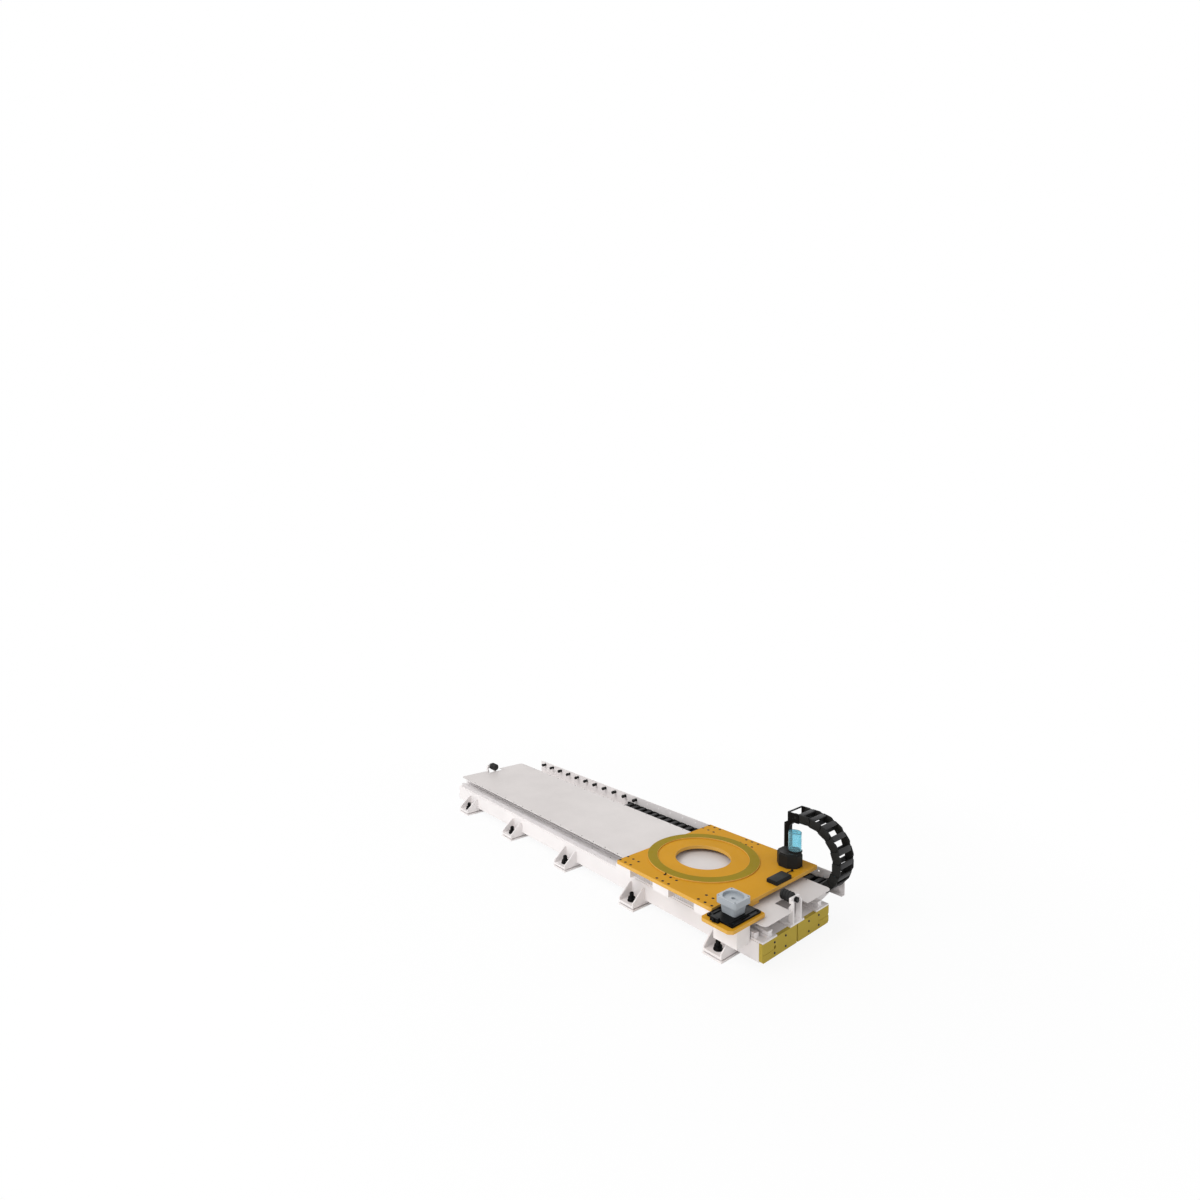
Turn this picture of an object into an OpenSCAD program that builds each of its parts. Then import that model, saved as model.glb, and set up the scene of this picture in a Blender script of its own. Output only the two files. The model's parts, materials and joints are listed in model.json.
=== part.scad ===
// Floor track with a rack-driven carriage for a robot.
// Millimetres, +X along the track towards the chain's bend, +Y to the cable tray, +Z up, floor at z = 0.

/* [Base frame] */
// Length of the base over its end plates
base_l = 2710; // [2500:10:3600]
// Width of the base over both beams
base_w = 530; // [500:5:600]
// Height of a beam
beam_h = 86; // [76:1:105]
// Height of the beams above the floor
beam_lift = 35; // [33:1:45]
// Wall of a beam
beam_wall = 6; // [4:0.5:10]
// Gap between the two beams
beam_gap = 8; // [4:1:20]
// Thickness of an end plate
end_t = 18; // [10:1:24]
// Thickness of the plates at the far end
far_end_t = 6; // [3:1:12]
// Radius of an end plate's screw head
end_screw_r = 5; // [3:0.5:7]

/* [Feet] */
// Feet on each side
foot_n = 5; // [3:1:6]
// Distance between feet
foot_pitch = 570; // [400:10:600]
// Width of a foot along the track
foot_w = 106; // [80:1:140]
// Reach of a foot from the beam
foot_d = 85; // [70:1:110]
// Thickness of a foot's bottom plate
foot_t = 12; // [8:0.5:14]
// Thickness of a foot's gusset
gusset_t = 8; // [5:0.5:12]
// Height of a foot's gusset
gusset_h = 72; // [40:1:80]
// Thickness of a floor pad
pad_t = 10; // [5:0.5:12]
// Levelling gap between pad and foot
level_gap = 5; // [1:0.5:6]
// Radius of a levelling bolt
level_r = 12; // [6:0.5:13]
// Height of a levelling bolt above its pad
level_h = 60; // [50:1:70]

/* [Rails and rack] */
// Width of a rail seat
seat_w = 105; // [95:1:115]
// Thickness of a rail seat
seat_t = 8; // [5:0.5:14]
// Rail centre, in from the side of the base
rail_inset = 67; // [67:0.5:75]
// Width of a rail
rail_w = 34; // [30:1:40]
// Height of a rail
rail_h = 29; // [24:0.5:34]
// Distance between rail bolts
rail_pitch = 80; // [60:5:120]
// Radius of a rail bolt's head
rail_bolt_r = 7; // [4:0.5:8]
// Module of the rack and pinion
gear_m = 4; // [3:0.5:4]
// Teeth on the pinion
pinion_n = 22; // [20:1:24]
// Teeth in one length of rack
rack_seg_n = 42; // [20:1:48]
// Lengths of rack
rack_segs = 5; // [2:1:5]
// Height of the rack
rack_h = 25; // [20:1:28]
// Depth of the rack behind its teeth
rack_body = 17; // [10:0.5:18]

/* [Cover] */
// Overhang of the cover past the side of the base
cover_over = 1; // [-5:0.5:3]
// Thickness of the cover
cover_t = 2; // [1:0.5:4]
// Corner radius of the cover
cover_r = 26; // [5:1:40]
// Distance between the rivets of the cover
rivet_pitch = 103; // [60:1:160]

/* [Carriage] */
// Length of the carriage plate
plate_l = 700; // [680:5:760]
// Width of the carriage plate
plate_w = 738; // [730:2:800]
// Thickness of the carriage plate
plate_t = 18; // [14:1:30]
// Outer radius of the robot ring
ring_r = 288; // [240:1:290]
// Inner radius of the robot ring
ring_ri = 236; // [170:1:238]
// Height of the robot ring
ring_h = 6; // [3:0.5:12]
// Radius of the cable hole in the plate
hole_r = 143; // [80:1:150]
// Length of a bearing block
block_l = 106; // [90:1:110]
// Width of a bearing block
block_w = 70; // [62:1:74]
// Height of a block's top above the rail seat
block_h = 53; // [48:1:70]
// Thickness of a riser's arm
arm_t = 14; // [10:1:24]
// Gap between plate and bumper at the end of the stroke
rest_gap = 41; // [10:1:60]

/* [Drive] */
// Thickness of the drive tab
tab_t = 16; // [10:1:20]
// Thickness of the slide plate
slide_t = 8; // [5:0.5:12]
// Side of the motor flange
flange_w = 111; // [100:1:116]
// Thickness of the motor flange
flange_t = 29; // [20:1:40]
// Height of the reducer's body
reducer_h = 43; // [30:1:70]
// Pitch circle diameter of the motor's screws
motor_pcd = 130; // [118:1:136]
// Radius of the motor's pilot
pilot_r = 47.5; // [40:0.5:50]
// Bore radius of the input hub
hub_bore_r = 9.5; // [6:0.5:14]

/* [Drag chain] */
// Outer width of the chain
chain_w = 130; // [90:1:150]
// Height of a link
chain_h = 44; // [36:1:48]
// Radius of the bend to the links' pins
bend_r = 172; // [150:1:220]
// Links in the bend
bend_n = 9; // [9:1:10]
// Links in the lower run that never lift
static_n = 9; // [5:1:12]
// Links in the lower run that lift
lift_n = 15; // [14:1:18]
// Thickness of one layer of a link's side plate
link_t = 5; // [3:0.5:6]

/* [Tray, lubricator and stops] */
// Thickness of the tray's sheet
tray_t = 3; // [2:0.5:5]
// Height of the tray's back wall above its floor
wall_h = 93; // [60:1:110]
// Distance between pegs
peg_pitch = 106.5; // [80:0.5:130]
// Pegs on the tray's wall
peg_n = 11; // [3:1:11]
// Radius of the bumpers
bumper_r = 25; // [15:0.5:26]
// Length of the bumpers
bumper_l = 60; // [40:1:80]
// Width across flats of the lubricator's body
pump_w = 118; // [90:1:130]
// Height of the lubricator's body
pump_h = 70; // [50:1:90]
// Radius of the grease reservoir
jar_r = 32.5; // [25:0.5:40]
// Height of the grease reservoir
jar_h = 94; // [60:1:110]

/* [Hidden] */
$fn = 48;
// Clearance between curved or moving faces, a shaft's running clearance, and a small cut past a face
fit = 0.3;
shaft_fit = 0.05;
cut = 1;

// Heights, each on top of the one before
beam_top = beam_lift + beam_h;
seat_top = beam_top + seat_t;
rail_top = seat_top + rail_h;
block_top = seat_top + block_h;
arm_top = block_top + arm_t;
stiff_t = 3;
cover_clear = 3;
cover_z = arm_top + cover_clear + stiff_t;
cover_top = cover_z + cover_t;
tab_clear = 2;
tab_z = cover_top + tab_clear;
plate_z = tab_z + tab_t;
plate_top = plate_z + plate_t;

// Base
x_end = base_l / 2;
side_y = base_w / 2;
beam_x0 = -x_end + far_end_t;
beam_x1 = x_end - end_t;
beam_w = (base_w - beam_gap) / 2;
end_notch = 9;
seam_z = beam_lift + 0.4 * beam_h;
seam_d = 1;
seam_l = 0.35 * beam_w;
seam_w = 2;
seam_notch = 5;
cable_hole_r = 8;
end_screw_h = 3;
foot_shift = 8;
foot_bottom = pad_t + level_gap;
foot_top = foot_bottom + foot_t;
gusset_lip = 12;
gusset_tip = 14;
pad_over = 2;
nut_t = 19;
nut_r = level_r * 1.7;
foot_under = 50;
spacer_d = 36;
level_y = foot_d / 2;
tie_t = 6;
tie_w = 90;
tie_y = side_y - foot_under - 4;

// Rails and rack
seat_in = 3;
rail_y = side_y - rail_inset;
rail_l = base_l - 18;
rail_end = 30;
rail_bolt_n = floor((rail_l - 2 * rail_end) / rail_pitch) + 1;
rail_bolt_drop = 0.6;
rail_bolt_h = 9;
rail_bolt_z = rail_top - rail_bolt_drop - rail_bolt_h;
rail_waist = 5;
gear_pitch = PI * gear_m;
pinion_r = gear_m * pinion_n / 2;
pressure = 20;
backlash = 0.15;
tooth_add = gear_m;
tooth_ded = 1.25 * gear_m;
rack_tip_y = -side_y + seat_in;
rack_pitch_y = rack_tip_y + tooth_add;
rack_back_y = rack_pitch_y + tooth_ded + rack_body;
rack_lead = 7;
rack_gap = 0.2;
rack_bolt_r = 5;

// Cover
cover_w = base_w + 2 * cover_over;
cover_past = 14;
cover_back = 34;
stiff_w = 15;
stiff_end = 90;
cover_post_w = 40;
cover_post_wall = 4;
cover_post_y = side_y - seat_in - seat_w - 37;

// Stops
stop_l = 64;
stop_w = 110;
stop_t = 10;
stop_plate_t = 12;
stop_gusset_y = 30;
stop_gusset_t = 9;
stud_l = 12;
bumper_rings = 7;
bumper_groove = 2.5;
stud_r = 6;
stop_nut_r = 14;
strap_w = 26;
strap_cut = 8;
strap_rise = 3;
stop_plate_up = 11;
stop_plate_down = 14;
stop_back = 12;
bumper_z = cover_top + bumper_r + 3;
stop_face = x_end - stop_back - stop_plate_t;
bumper_face = stop_face - bumper_l;

// Carriage at rest, one rest gap before the right bumper
plate_x1 = bumper_face - rest_gap;
plate_x0 = plate_x1 - plate_l;
ring_x = plate_x0 + 0.374 * plate_l;
group_n = 3;
group_in = 46;
group_out = 124;
group_x0 = plate_x0 + group_in;
block_pitch = (plate_l - group_in - group_out) / (group_n - 1);
riser_y1 = plate_w / 2 - 3;
riser_y0 = side_y + 11;
row_a = riser_y0 + 19;
row_b = riser_y1 - 16;
bolt_step = 39;
bolt_r = 7;
bolt_head = 9;
bolt_shank = 4.5;
bolt_len = 24;
block_clear = 6;
cap_t = 8;
notch_x = plate_x1 - group_out + block_l / 2 + 1;

// Drive
axis_x = plate_x1 - 3;
axis_y = rack_pitch_y - pinion_r - fit;
notch_in = 104;
notch_y = axis_y + notch_in;
pinion_h = rack_h - 3;
pinion_z = seat_top + 1.5;
tab_reach = 89;
tab_front = 133;
tab_tail = 86;
tab_x1 = plate_x1 + tab_reach;
tab_y0 = axis_y - tab_front;
tab_y1 = notch_y + 8;
tab_tail_y = notch_y + tab_tail;
tab_cut = 18;
slide_x0 = notch_x + 1;
slide_x1 = tab_x1 - 16;
slide_y0 = tab_y0 + 30;
slide_y1 = notch_y - 4;
slide_top = plate_z + slide_t;
bar_in = 19;
bar_w = 5;
bar_h = 4;
slot_w = 8;
slot_l = 60;
spigot_r = 35;
spigot_h = 34;
shaft_r = 15;
shaft_in = 20;
body_top_w = 0.79 * flange_w;
body_low_w = 0.7 * flange_w;
body_r = 14;
groove_h = 3;
flange_r = 14;
flange_z = slide_top + reducer_h;
flange_top = flange_z + flange_t;
recess_h = 12;
hub_r = 24;
hub_z = flange_z + 1;
hub_h = flange_t - recess_h - 1;
guard_t = 3;
guard_x = pinion_r + tooth_add + 17;
guard_y0 = axis_y - pinion_r - tooth_add - 9;
guard_y1 = -side_y - 3;
guard_z = seat_top - 24;

// Drag chain
link_pitch = PI * bend_r / bend_n;
bend_step = 180 / bend_n;
pin_r = 7;
pin_circle = link_pitch / (2 * sin(bend_step / 2));
chain_out = 59;
chain_y0 = side_y + chain_out;
chain_y1 = chain_y0 + chain_w;
tray_z = beam_top - 25;
low_z = tray_z + chain_h / 2 + fit;
mid_z = low_z + pin_circle;
high_z = mid_z + pin_circle;
bend_in = 45;
bend_x = plate_x1 - bend_in;
low_x = bend_x - (static_n + lift_n) * link_pitch;
high_n = 1;
high_x = bend_x - high_n * link_pitch;
layer_gap = fit;
side_t = 2 * link_t + layer_gap;
lap_a = link_pitch - chain_h / 2 - 2;
lap_b = chain_h / 2 + 2;
stay_w = 0.46 * link_pitch;
stay_h = 6;
fixed_back = 14;

// Tray
tray_end = 28;
tray_y0 = side_y + 40;
wall_y = chain_y1 + 5;
tray_x = x_end - tray_end;
floor_cut = 78;
flange_d = 26;
peg_l = 32;
peg_r = 10.5;
peg_neck = 3;
peg_head = 18;
peg_in = 60;
peg_x0 = -tray_x + peg_in;
peg_up = 72;
peg_z = tray_z + peg_up;
hole_n = floor((2 * tray_x - 2 * peg_in) / peg_pitch) + 1;
tray_arm_t = 8;
tray_arm_w = 60;
tray_arm_h = 40;
tray_arm_gap = 45;
tray_arm_off = foot_w / 2 + tray_arm_gap;

// Lubricator and chain post
post_w = 30;
post_y = plate_w / 2 - post_w - 3;
pump_in = 100;
pump_x = plate_x1 - pump_in;
pump_y = post_y - pump_w / 2 - 4;
jar_x = pump_x + 18;
jar_y = pump_y + 18;
box_in = 64;
box_x = plate_x1 - box_in;
box_y = 24;
box_w = 60;
box_d = 124;
box_h = 18;
box_lid = 3;
box_r = 4;
pipe_r = 2.5;
pipe_in = 20;
pipe_up = 4;
pump_rim_h = 8;
pump_rim = 5;
jar_wall = 2.5;
jar_cap_t = 4;
post_back = 72;
post_x = high_x - post_back;
post_wall = 3;
post_foot = 16;
post_foot_t = 8;
post_top = high_z - chain_h / 2 - fit;
cradle_t = 5;
ear_l = 44;
ear_x = high_x - ear_l;
ear_end = high_x + lap_b - 4;
end_bar_w = 8;
end_bar_h = 6;
bracket_z = post_top - cradle_t;
head_h = 18;
post_z = bracket_z - head_h;
brace_h = 30;
brace_l = min(brace_h, ear_end - post_x - post_w);

// The middle of the whole outline is the origin
x_max = bend_x + pin_circle * cos(bend_step / 2) + chain_h / 2;
mid_x = (x_max - x_end - end_screw_h) / 2;
mid_y = (wall_y + tray_t + tab_y0) / 2;

function foot_x(i) = foot_shift + (i - (foot_n - 1) / 2) * foot_pitch;
function rail_bolt_x(i) = (i - (rail_bolt_n - 1) / 2) * rail_pitch;
function group_x(i) = group_x0 + i * block_pitch;
function involute(a) = tan(a) * 180 / PI - a;
function flank(r) = 90 / pinion_n + involute(pressure)
  - involute(acos(min(1, pinion_r * cos(pressure) / r)));
function polar(r, a) = [r * cos(a), r * sin(a)];

module place() {
  translate([-mid_x, -mid_y, 0]) children();
}
module both_sides() {
  children();
  mirror([0, 1, 0]) children();
}
module both_ends() {
  children();
  mirror([1, 0, 0]) children();
}
module box(x0, x1, y0, y1, z0, z1) {
  translate([x0, y0, z0]) cube([x1 - x0, y1 - y0, z1 - z0]);
}
module rod(x, y, z0, z1, r) {
  translate([x, y, z0]) cylinder(h = z1 - z0, r = r);
}
module rounded(x0, x1, y0, y1, r) {
  translate([x0 + r, y0]) square([x1 - x0 - 2 * r, y1 - y0]);
  translate([x0, y0 + r]) square([x1 - x0, y1 - y0 - 2 * r]);
  for (x = [x0 + r, x1 - r], y = [y0 + r, y1 - r]) translate([x, y]) circle(r);
}

// Base frame
module beam() {
  y1 = -beam_gap / 2;
  difference() {
    box(beam_x0, beam_x1, y1 - beam_w, y1, beam_lift, beam_top);
    box(beam_x0 - cut, beam_x1 + cut, y1 - beam_w + beam_wall, y1 - beam_wall,
      beam_lift + beam_wall, beam_top - beam_wall);
  }
}
module front_beam() { color("whitesmoke") place() beam(); }
module rear_beam() { color("whitesmoke") place() mirror([0, 1, 0]) beam(); }
module tie_plates() {
  color("whitesmoke") place() for (i = [0 : foot_n - 1])
    box(foot_x(i) - tie_w / 2, foot_x(i) + tie_w / 2, -tie_y, tie_y, beam_lift - tie_t, beam_lift);
}
module rail_seats() {
  color("white") place() both_sides()
    box(-x_end, x_end, -side_y + seat_in, -side_y + seat_in + seat_w, beam_top, seat_top);
}
module end_plate(t) {
  y1 = -beam_gap / 2;
  translate([x_end - t, 0, 0]) rotate([90, 0, 90]) linear_extrude(t) difference() {
    polygon([
      [y1, beam_lift], [y1, beam_top], [y1 - beam_w, beam_top],
      [y1 - beam_w, beam_lift + end_notch], [y1 - beam_w + end_notch, beam_lift]
    ]);
    for (p = end_screw_spots()) translate(p) circle(end_screw_r * 0.5 + fit);
  }
}
// A small notch in the rear end plate's outer edge, and a shallow seam in both plates
module end_notch_cut() {
  y0 = -side_y;
  box(x_end - end_t - cut, x_end + cut, y0 - cut, y0 + seam_notch, seam_z, seam_z + 0.15 * beam_h);
}
module end_seam() {
  y0 = -side_y;
  box(x_end - seam_d, x_end + cut, y0 - cut, y0 + seam_l, seam_z, seam_z + seam_w);
}
function end_screw_spots() = [
  for (y = [-beam_gap / 2 - 0.34 * beam_w, -beam_gap / 2 - 0.66 * beam_w],
    z = [beam_lift + 0.22 * beam_h, beam_lift + 0.78 * beam_h]) [y, z]
];
module end_plates() {
  color("olive") place() difference() {
    both_sides() end_plate(end_t);
    both_sides() end_seam();
    mirror([0, 1, 0]) end_notch_cut();
    translate([x_end - end_t - cut, -0.66 * beam_w, beam_lift + 0.5 * beam_h]) rotate([0, 90, 0])
      cylinder(h = end_t + 2 * cut, r = cable_hole_r);
  }
}
module far_end_plates() {
  color("whitesmoke") place() mirror([1, 0, 0]) both_sides() end_plate(far_end_t);
}
module end_plate_screws() {
  color("dimgray") place() both_sides() for (p = end_screw_spots()) {
    translate([x_end, p[0], p[1]]) rotate([0, 90, 0]) end_screw(end_t);
    translate([-x_end, p[0], p[1]]) rotate([0, -90, 0]) end_screw(far_end_t);
  }
}
module end_screw(grip) {
  cylinder(h = end_screw_h, r = end_screw_r);
  translate([0, 0, -grip]) cylinder(h = grip, r = end_screw_r * 0.5);
}

// Feet
module foot_bracket() {
  y1 = -side_y;
  difference() {
    union() {
      box(-foot_w / 2, foot_w / 2, y1 - foot_d, y1 + foot_under, foot_bottom, foot_top);
      box(-foot_w / 2, foot_w / 2, y1, y1 + spacer_d, foot_top, beam_lift);
    }
    rod(0, y1 - level_y, foot_bottom - cut, foot_top + cut, level_r + fit);
  }
  for (x = [-foot_w / 2, foot_w / 2 - gusset_t])
    translate([x, 0, 0]) rotate([90, 0, 90]) linear_extrude(gusset_t) polygon([
      [y1, foot_top], [y1, foot_top + gusset_h], [y1 - gusset_tip, foot_top + gusset_h],
      [y1 - foot_d, foot_top + gusset_lip], [y1 - foot_d, foot_top]
    ]);
}
module each_foot() {
  both_sides() for (i = [0 : foot_n - 1]) translate([foot_x(i), 0, 0]) children();
}
module foot_brackets() { color("whitesmoke") place() each_foot() foot_bracket(); }
module floor_pads() {
  color("gainsboro") place() each_foot()
    box(-foot_w / 2 - pad_over, foot_w / 2 + pad_over, -side_y - foot_d - pad_over, -side_y + foot_under,
      0, pad_t);
}
module levelling_bolts() {
  color("black") place() each_foot() rod(0, -side_y - level_y, pad_t, pad_t + level_h, level_r);
}
module levelling_nuts() {
  color("black") place() each_foot() translate([0, -side_y - level_y, foot_top]) difference() {
    union() {
      cylinder(h = nut_t, r = nut_r, $fn = 6);
      cylinder(h = 3, r = nut_r + 2);
    }
    translate([0, 0, -cut]) cylinder(h = nut_t + 2 * cut, r = level_r + fit);
  }
}

// Rails and rack
// Right half of a rail's profile from foot to top, as distance from the centre and share of the height
rail_half = [
  [rail_w / 2, 0], [rail_w / 2, 0.3], [rail_w / 2 - rail_waist, 0.42], [rail_w / 2 - rail_waist, 0.66],
  [rail_w / 2, 0.78], [rail_w / 2, 0.94], [rail_w / 2 - 2, 1]
];
module rail() {
  last = len(rail_half) - 1;
  difference() {
    translate([-rail_l / 2, -rail_y, seat_top]) rotate([90, 0, 90]) linear_extrude(rail_l) polygon([
      for (i = [0 : last]) [rail_half[i][0], rail_half[i][1] * rail_h],
      for (i = [last : -1 : 0]) [-rail_half[i][0], rail_half[i][1] * rail_h]
    ]);
    for (i = [0 : rail_bolt_n - 1])
      rod(rail_bolt_x(i), -rail_y, rail_bolt_z, rail_top + cut, rail_bolt_r + fit);
  }
}
module front_rail() { color("silver") place() rail(); }
module rear_rail() { color("silver") place() mirror([0, 1, 0]) rail(); }
module rail_bolts() {
  color("dimgray") place() both_sides() for (i = [0 : rail_bolt_n - 1])
    rod(rail_bolt_x(i), -rail_y, rail_bolt_z, rail_bolt_z + rail_bolt_h, rail_bolt_r);
}
// One tooth of the rack, from its left root to its right root
function rack_tooth(x) = [
  for (p = [[-1, -tooth_ded], [-1, tooth_add], [1, tooth_add], [1, -tooth_ded]])
    [x + p[0] * (gear_pitch / 4 - backlash - p[1] * tan(pressure)), rack_pitch_y - p[1]]
];
module rack_length(x1) {
  x0 = x1 - rack_seg_n * gear_pitch;
  difference() {
    translate([0, 0, seat_top]) linear_extrude(rack_h) polygon(concat(
      [[x0 + rack_gap / 2, rack_back_y], [x0 + rack_gap / 2, rack_pitch_y + tooth_ded]],
      [for (k = [0 : rack_seg_n - 1]) each rack_tooth(x0 + (k + 0.5) * gear_pitch)],
      [[x1 - rack_gap / 2, rack_pitch_y + tooth_ded], [x1 - rack_gap / 2, rack_back_y]]
    ));
    for (x = rack_bolt_spots(x0, x1))
      rod(x, rack_bolt_y(), seat_top - cut, seat_top + rack_h + cut, rack_bolt_r + fit);
  }
}
function rack_bolt_y() = rack_back_y - rack_body / 2;
function rack_bolt_spots(x0, x1) = [for (t = [0.15, 0.5, 0.85]) x0 + t * (x1 - x0)];
function rack_end(i) = axis_x + rack_lead * gear_pitch - i * rack_seg_n * gear_pitch;
module gear_rack() {
  color("silver") place() for (i = [0 : rack_segs - 1]) rack_length(rack_end(i));
}
module rack_bolts() {
  color("dimgray") place() for (i = [0 : rack_segs - 1], x = rack_bolt_spots(rack_end(i + 1), rack_end(i)))
    rod(x, rack_bolt_y(), seat_top, seat_top + rack_h - 2, rack_bolt_r);
}

// Cover
module cover_plate() {
  x0 = -x_end + cover_back;
  x1 = x_end + cover_past;
  color("lightgray") place() translate([0, 0, cover_z]) linear_extrude(cover_t) difference() {
    rounded(x0, x1, -cover_w / 2, cover_w / 2, cover_r);
    for (s = [-1, 1]) translate([s * (x_end - stop_l / 2), 0])
      square([stop_l + 2 * end_t, stop_w + 8], center = true);
    for (i = [0 : rivet_n() - 1], s = [-1, 1]) translate([rivet_x(i), s * rivet_y()]) circle(rivet_r());
  }
}
function rivet_r() = 3.5;
function rivet_y() = cover_w / 2 - 8;
function rivet_n() = floor((base_l - 200) / rivet_pitch) + 1;
function rivet_x(i) = (i - (rivet_n() - 1) / 2) * rivet_pitch;
module cover_stiffeners() {
  y0 = -cover_w / 2 + 1;
  color("gainsboro") place() both_sides()
    box(-x_end + stiff_end, x_end - stiff_end, y0, y0 + stiff_w, cover_z - stiff_t, cover_z);
}
module cover_rivets() {
  color("gray") place() both_sides() for (i = [0 : rivet_n() - 1])
    rod(rivet_x(i), -rivet_y(), cover_z, cover_top + 1, rivet_r());
}
module cover_posts() {
  w = cover_post_w;
  t = cover_post_wall;
  color("whitesmoke") place() both_sides() for (i = [0 : foot_n - 1])
    translate([foot_x(i) * 0.96 - w / 2, -cover_post_y, beam_top]) difference() {
      cube([w, w, cover_z - beam_top]);
      translate([t, t, -cut]) cube([w - 2 * t, w - 2 * t, cover_z - beam_top - t + cut]);
    }
}

// Tray
module cable_tray() {
  color("gainsboro") place() difference() {
    union() {
      box(-tray_x, tray_x - floor_cut, tray_y0, wall_y + tray_t, tray_z - tray_t, tray_z);
      box(-tray_x, tray_x, wall_y - flange_d, wall_y + tray_t, tray_z - tray_t, tray_z);
      box(-tray_x, tray_x, wall_y, wall_y + tray_t, tray_z - tray_t, tray_z + wall_h);
    }
    for (i = [0 : hole_n - 1]) translate([peg_x0 + i * peg_pitch, wall_y - cut, peg_z]) rotate([-90, 0, 0])
      cylinder(h = tray_t + 2 * cut, r = 4);
  }
}
module tray_brackets() {
  reach = wall_y - side_y - 8;
  z1 = tray_z - tray_t;
  z0 = z1 - tray_arm_h;
  color("whitesmoke") place() for (i = [0 : foot_n - 1]) translate([foot_x(i) + tray_arm_off, side_y, 0]) {
    translate([-tray_arm_t / 2, 0, 0]) rotate([90, 0, 90]) linear_extrude(tray_arm_t)
      polygon([[0, z1], [reach, z1], [reach, z1 - 12], [0.3 * reach, z0], [0, z0]]);
    box(-tray_arm_w / 2, tray_arm_w / 2, 0, tray_arm_t, z0, z1);
  }
}
module chain_rest_pegs() {
  color("black") place() for (i = [0 : peg_n - 1])
    translate([peg_x0 + i * peg_pitch, wall_y, peg_z]) rotate([90, 0, 0]) {
      cylinder(h = peg_l, r = peg_r - peg_neck);
      cylinder(h = 4, r = peg_r);
      translate([0, 0, peg_l - peg_head]) cylinder(h = peg_head, r = peg_r);
    }
}

// End stops
// A strap stands on the bracket's foot and hooks over to the plate behind the bumper
module stop_strap() {
  z0 = beam_top + stop_t;
  z1 = bumper_z + strap_rise;
  back = stop_face + stop_plate_t;
  translate([0, stop_gusset_t / 2, 0]) rotate([90, 0, 0]) linear_extrude(stop_gusset_t) polygon([
    [x_end - strap_w, z0], [x_end, z0], [x_end, z1 - strap_cut], [x_end - strap_cut, z1], [back, z1],
    [back, bumper_z - stop_plate_down], [x_end - strap_w, bumper_z - bumper_r - strap_cut]
  ]);
}
module bumper_bracket() {
  y1 = stop_gusset_y + stop_gusset_t / 2;
  difference() {
    union() {
      box(x_end - stop_l, x_end, -stop_w / 2, stop_w / 2, beam_top, beam_top + stop_t);
      for (y = [-stop_gusset_y, stop_gusset_y]) translate([0, y, 0]) stop_strap();
      box(stop_face, stop_face + stop_plate_t, -y1, y1,
        bumper_z - stop_plate_down, bumper_z + stop_plate_up);
    }
    translate([stop_face - cut, 0, bumper_z]) rotate([0, 90, 0])
      cylinder(h = stop_plate_t + 2 * cut, r = stud_r + fit);
  }
}
module bumper_brackets() { color("white") place() both_ends() bumper_bracket(); }
module bumpers() {
  rib = bumper_l / bumper_rings;
  color("black") place() both_ends() translate([stop_face, 0, bumper_z]) rotate([0, -90, 0]) {
    rotate_extrude() polygon(concat(
      [[0, 0]],
      [
        for (i = [0 : bumper_rings - 1]) let(r = bumper_r - (i % 2) * bumper_groove)
          each [[r, i * rib], [r, (i + 1) * rib]]
      ],
      [[0, bumper_l]]
    ));
    translate([0, 0, -stop_plate_t - stud_l]) cylinder(h = stop_plate_t + stud_l, r = stud_r);
  }
}
module bumper_nuts() {
  color("black") place() both_ends() translate([stop_face + stop_plate_t, 0, bumper_z]) rotate([0, 90, 0])
    difference() {
      cylinder(h = stud_l, r = stop_nut_r, $fn = 6);
      translate([0, 0, -cut]) cylinder(h = stud_l + 2 * cut, r = stud_r + fit);
    }
}

// Drag chain: a link runs from its pin hole at the origin to its pin one pitch along +X
module link_side(pin) {
  translate([0, link_t, 0]) rotate([90, 0, 0]) linear_extrude(link_t) difference() {
    union() {
      circle(d = chain_h);
      translate([0, -chain_h / 2]) square([lap_a, chain_h]);
    }
    circle(pin_r + fit);
  }
  translate([0, side_t, 0]) rotate([90, 0, 0]) linear_extrude(link_t) {
    translate([link_pitch, 0]) circle(d = chain_h);
    translate([lap_b, -chain_h / 2]) square([link_pitch - lap_b, chain_h]);
  }
  translate([lap_b, link_t, -chain_h / 2]) cube([lap_a - lap_b, layer_gap, chain_h]);
  if (pin) translate([link_pitch, link_t + layer_gap, 0]) rotate([90, 0, 0])
    cylinder(h = link_t + layer_gap, r = pin_r);
}
module link_sides(pin = true) {
  link_side(pin);
  translate([0, chain_w, 0]) mirror([0, 1, 0]) link_side(pin);
}
module link_stays() {
  for (z = [-chain_h / 2, chain_h / 2 - stay_h])
    translate([(link_pitch - stay_w) / 2, side_t, z]) cube([stay_w, chain_w - 2 * side_t, stay_h]);
}
module low_link(i) {
  translate([low_x + i * link_pitch, chain_y0, low_z]) children();
}
module bend_link(i) {
  a = -90 + i * bend_step;
  translate([bend_x + pin_circle * cos(a), chain_y0, mid_z + pin_circle * sin(a)])
    rotate([0, -(i + 0.5) * bend_step, 0]) children();
}
module high_link(i) {
  translate([bend_x - i * link_pitch, chain_y0, high_z]) rotate([0, -180, 0]) children();
}
module chain_static_plates() {
  color("black") place() for (i = [0 : static_n - 1]) low_link(i) link_sides();
}
module chain_static_stays() {
  color("dimgray") place() for (i = [0 : static_n - 1]) low_link(i) link_stays();
}
module chain_lifting_plates() {
  color("black") place() for (i = [static_n : static_n + lift_n - 1]) low_link(i) link_sides();
}
module chain_lifting_stays() {
  color("dimgray") place() for (i = [static_n : static_n + lift_n - 1]) low_link(i) link_stays();
}
module chain_bend_plates() {
  color("black") place() for (i = [0 : bend_n - 1]) bend_link(i) link_sides(i < bend_n - 1);
}
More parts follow.
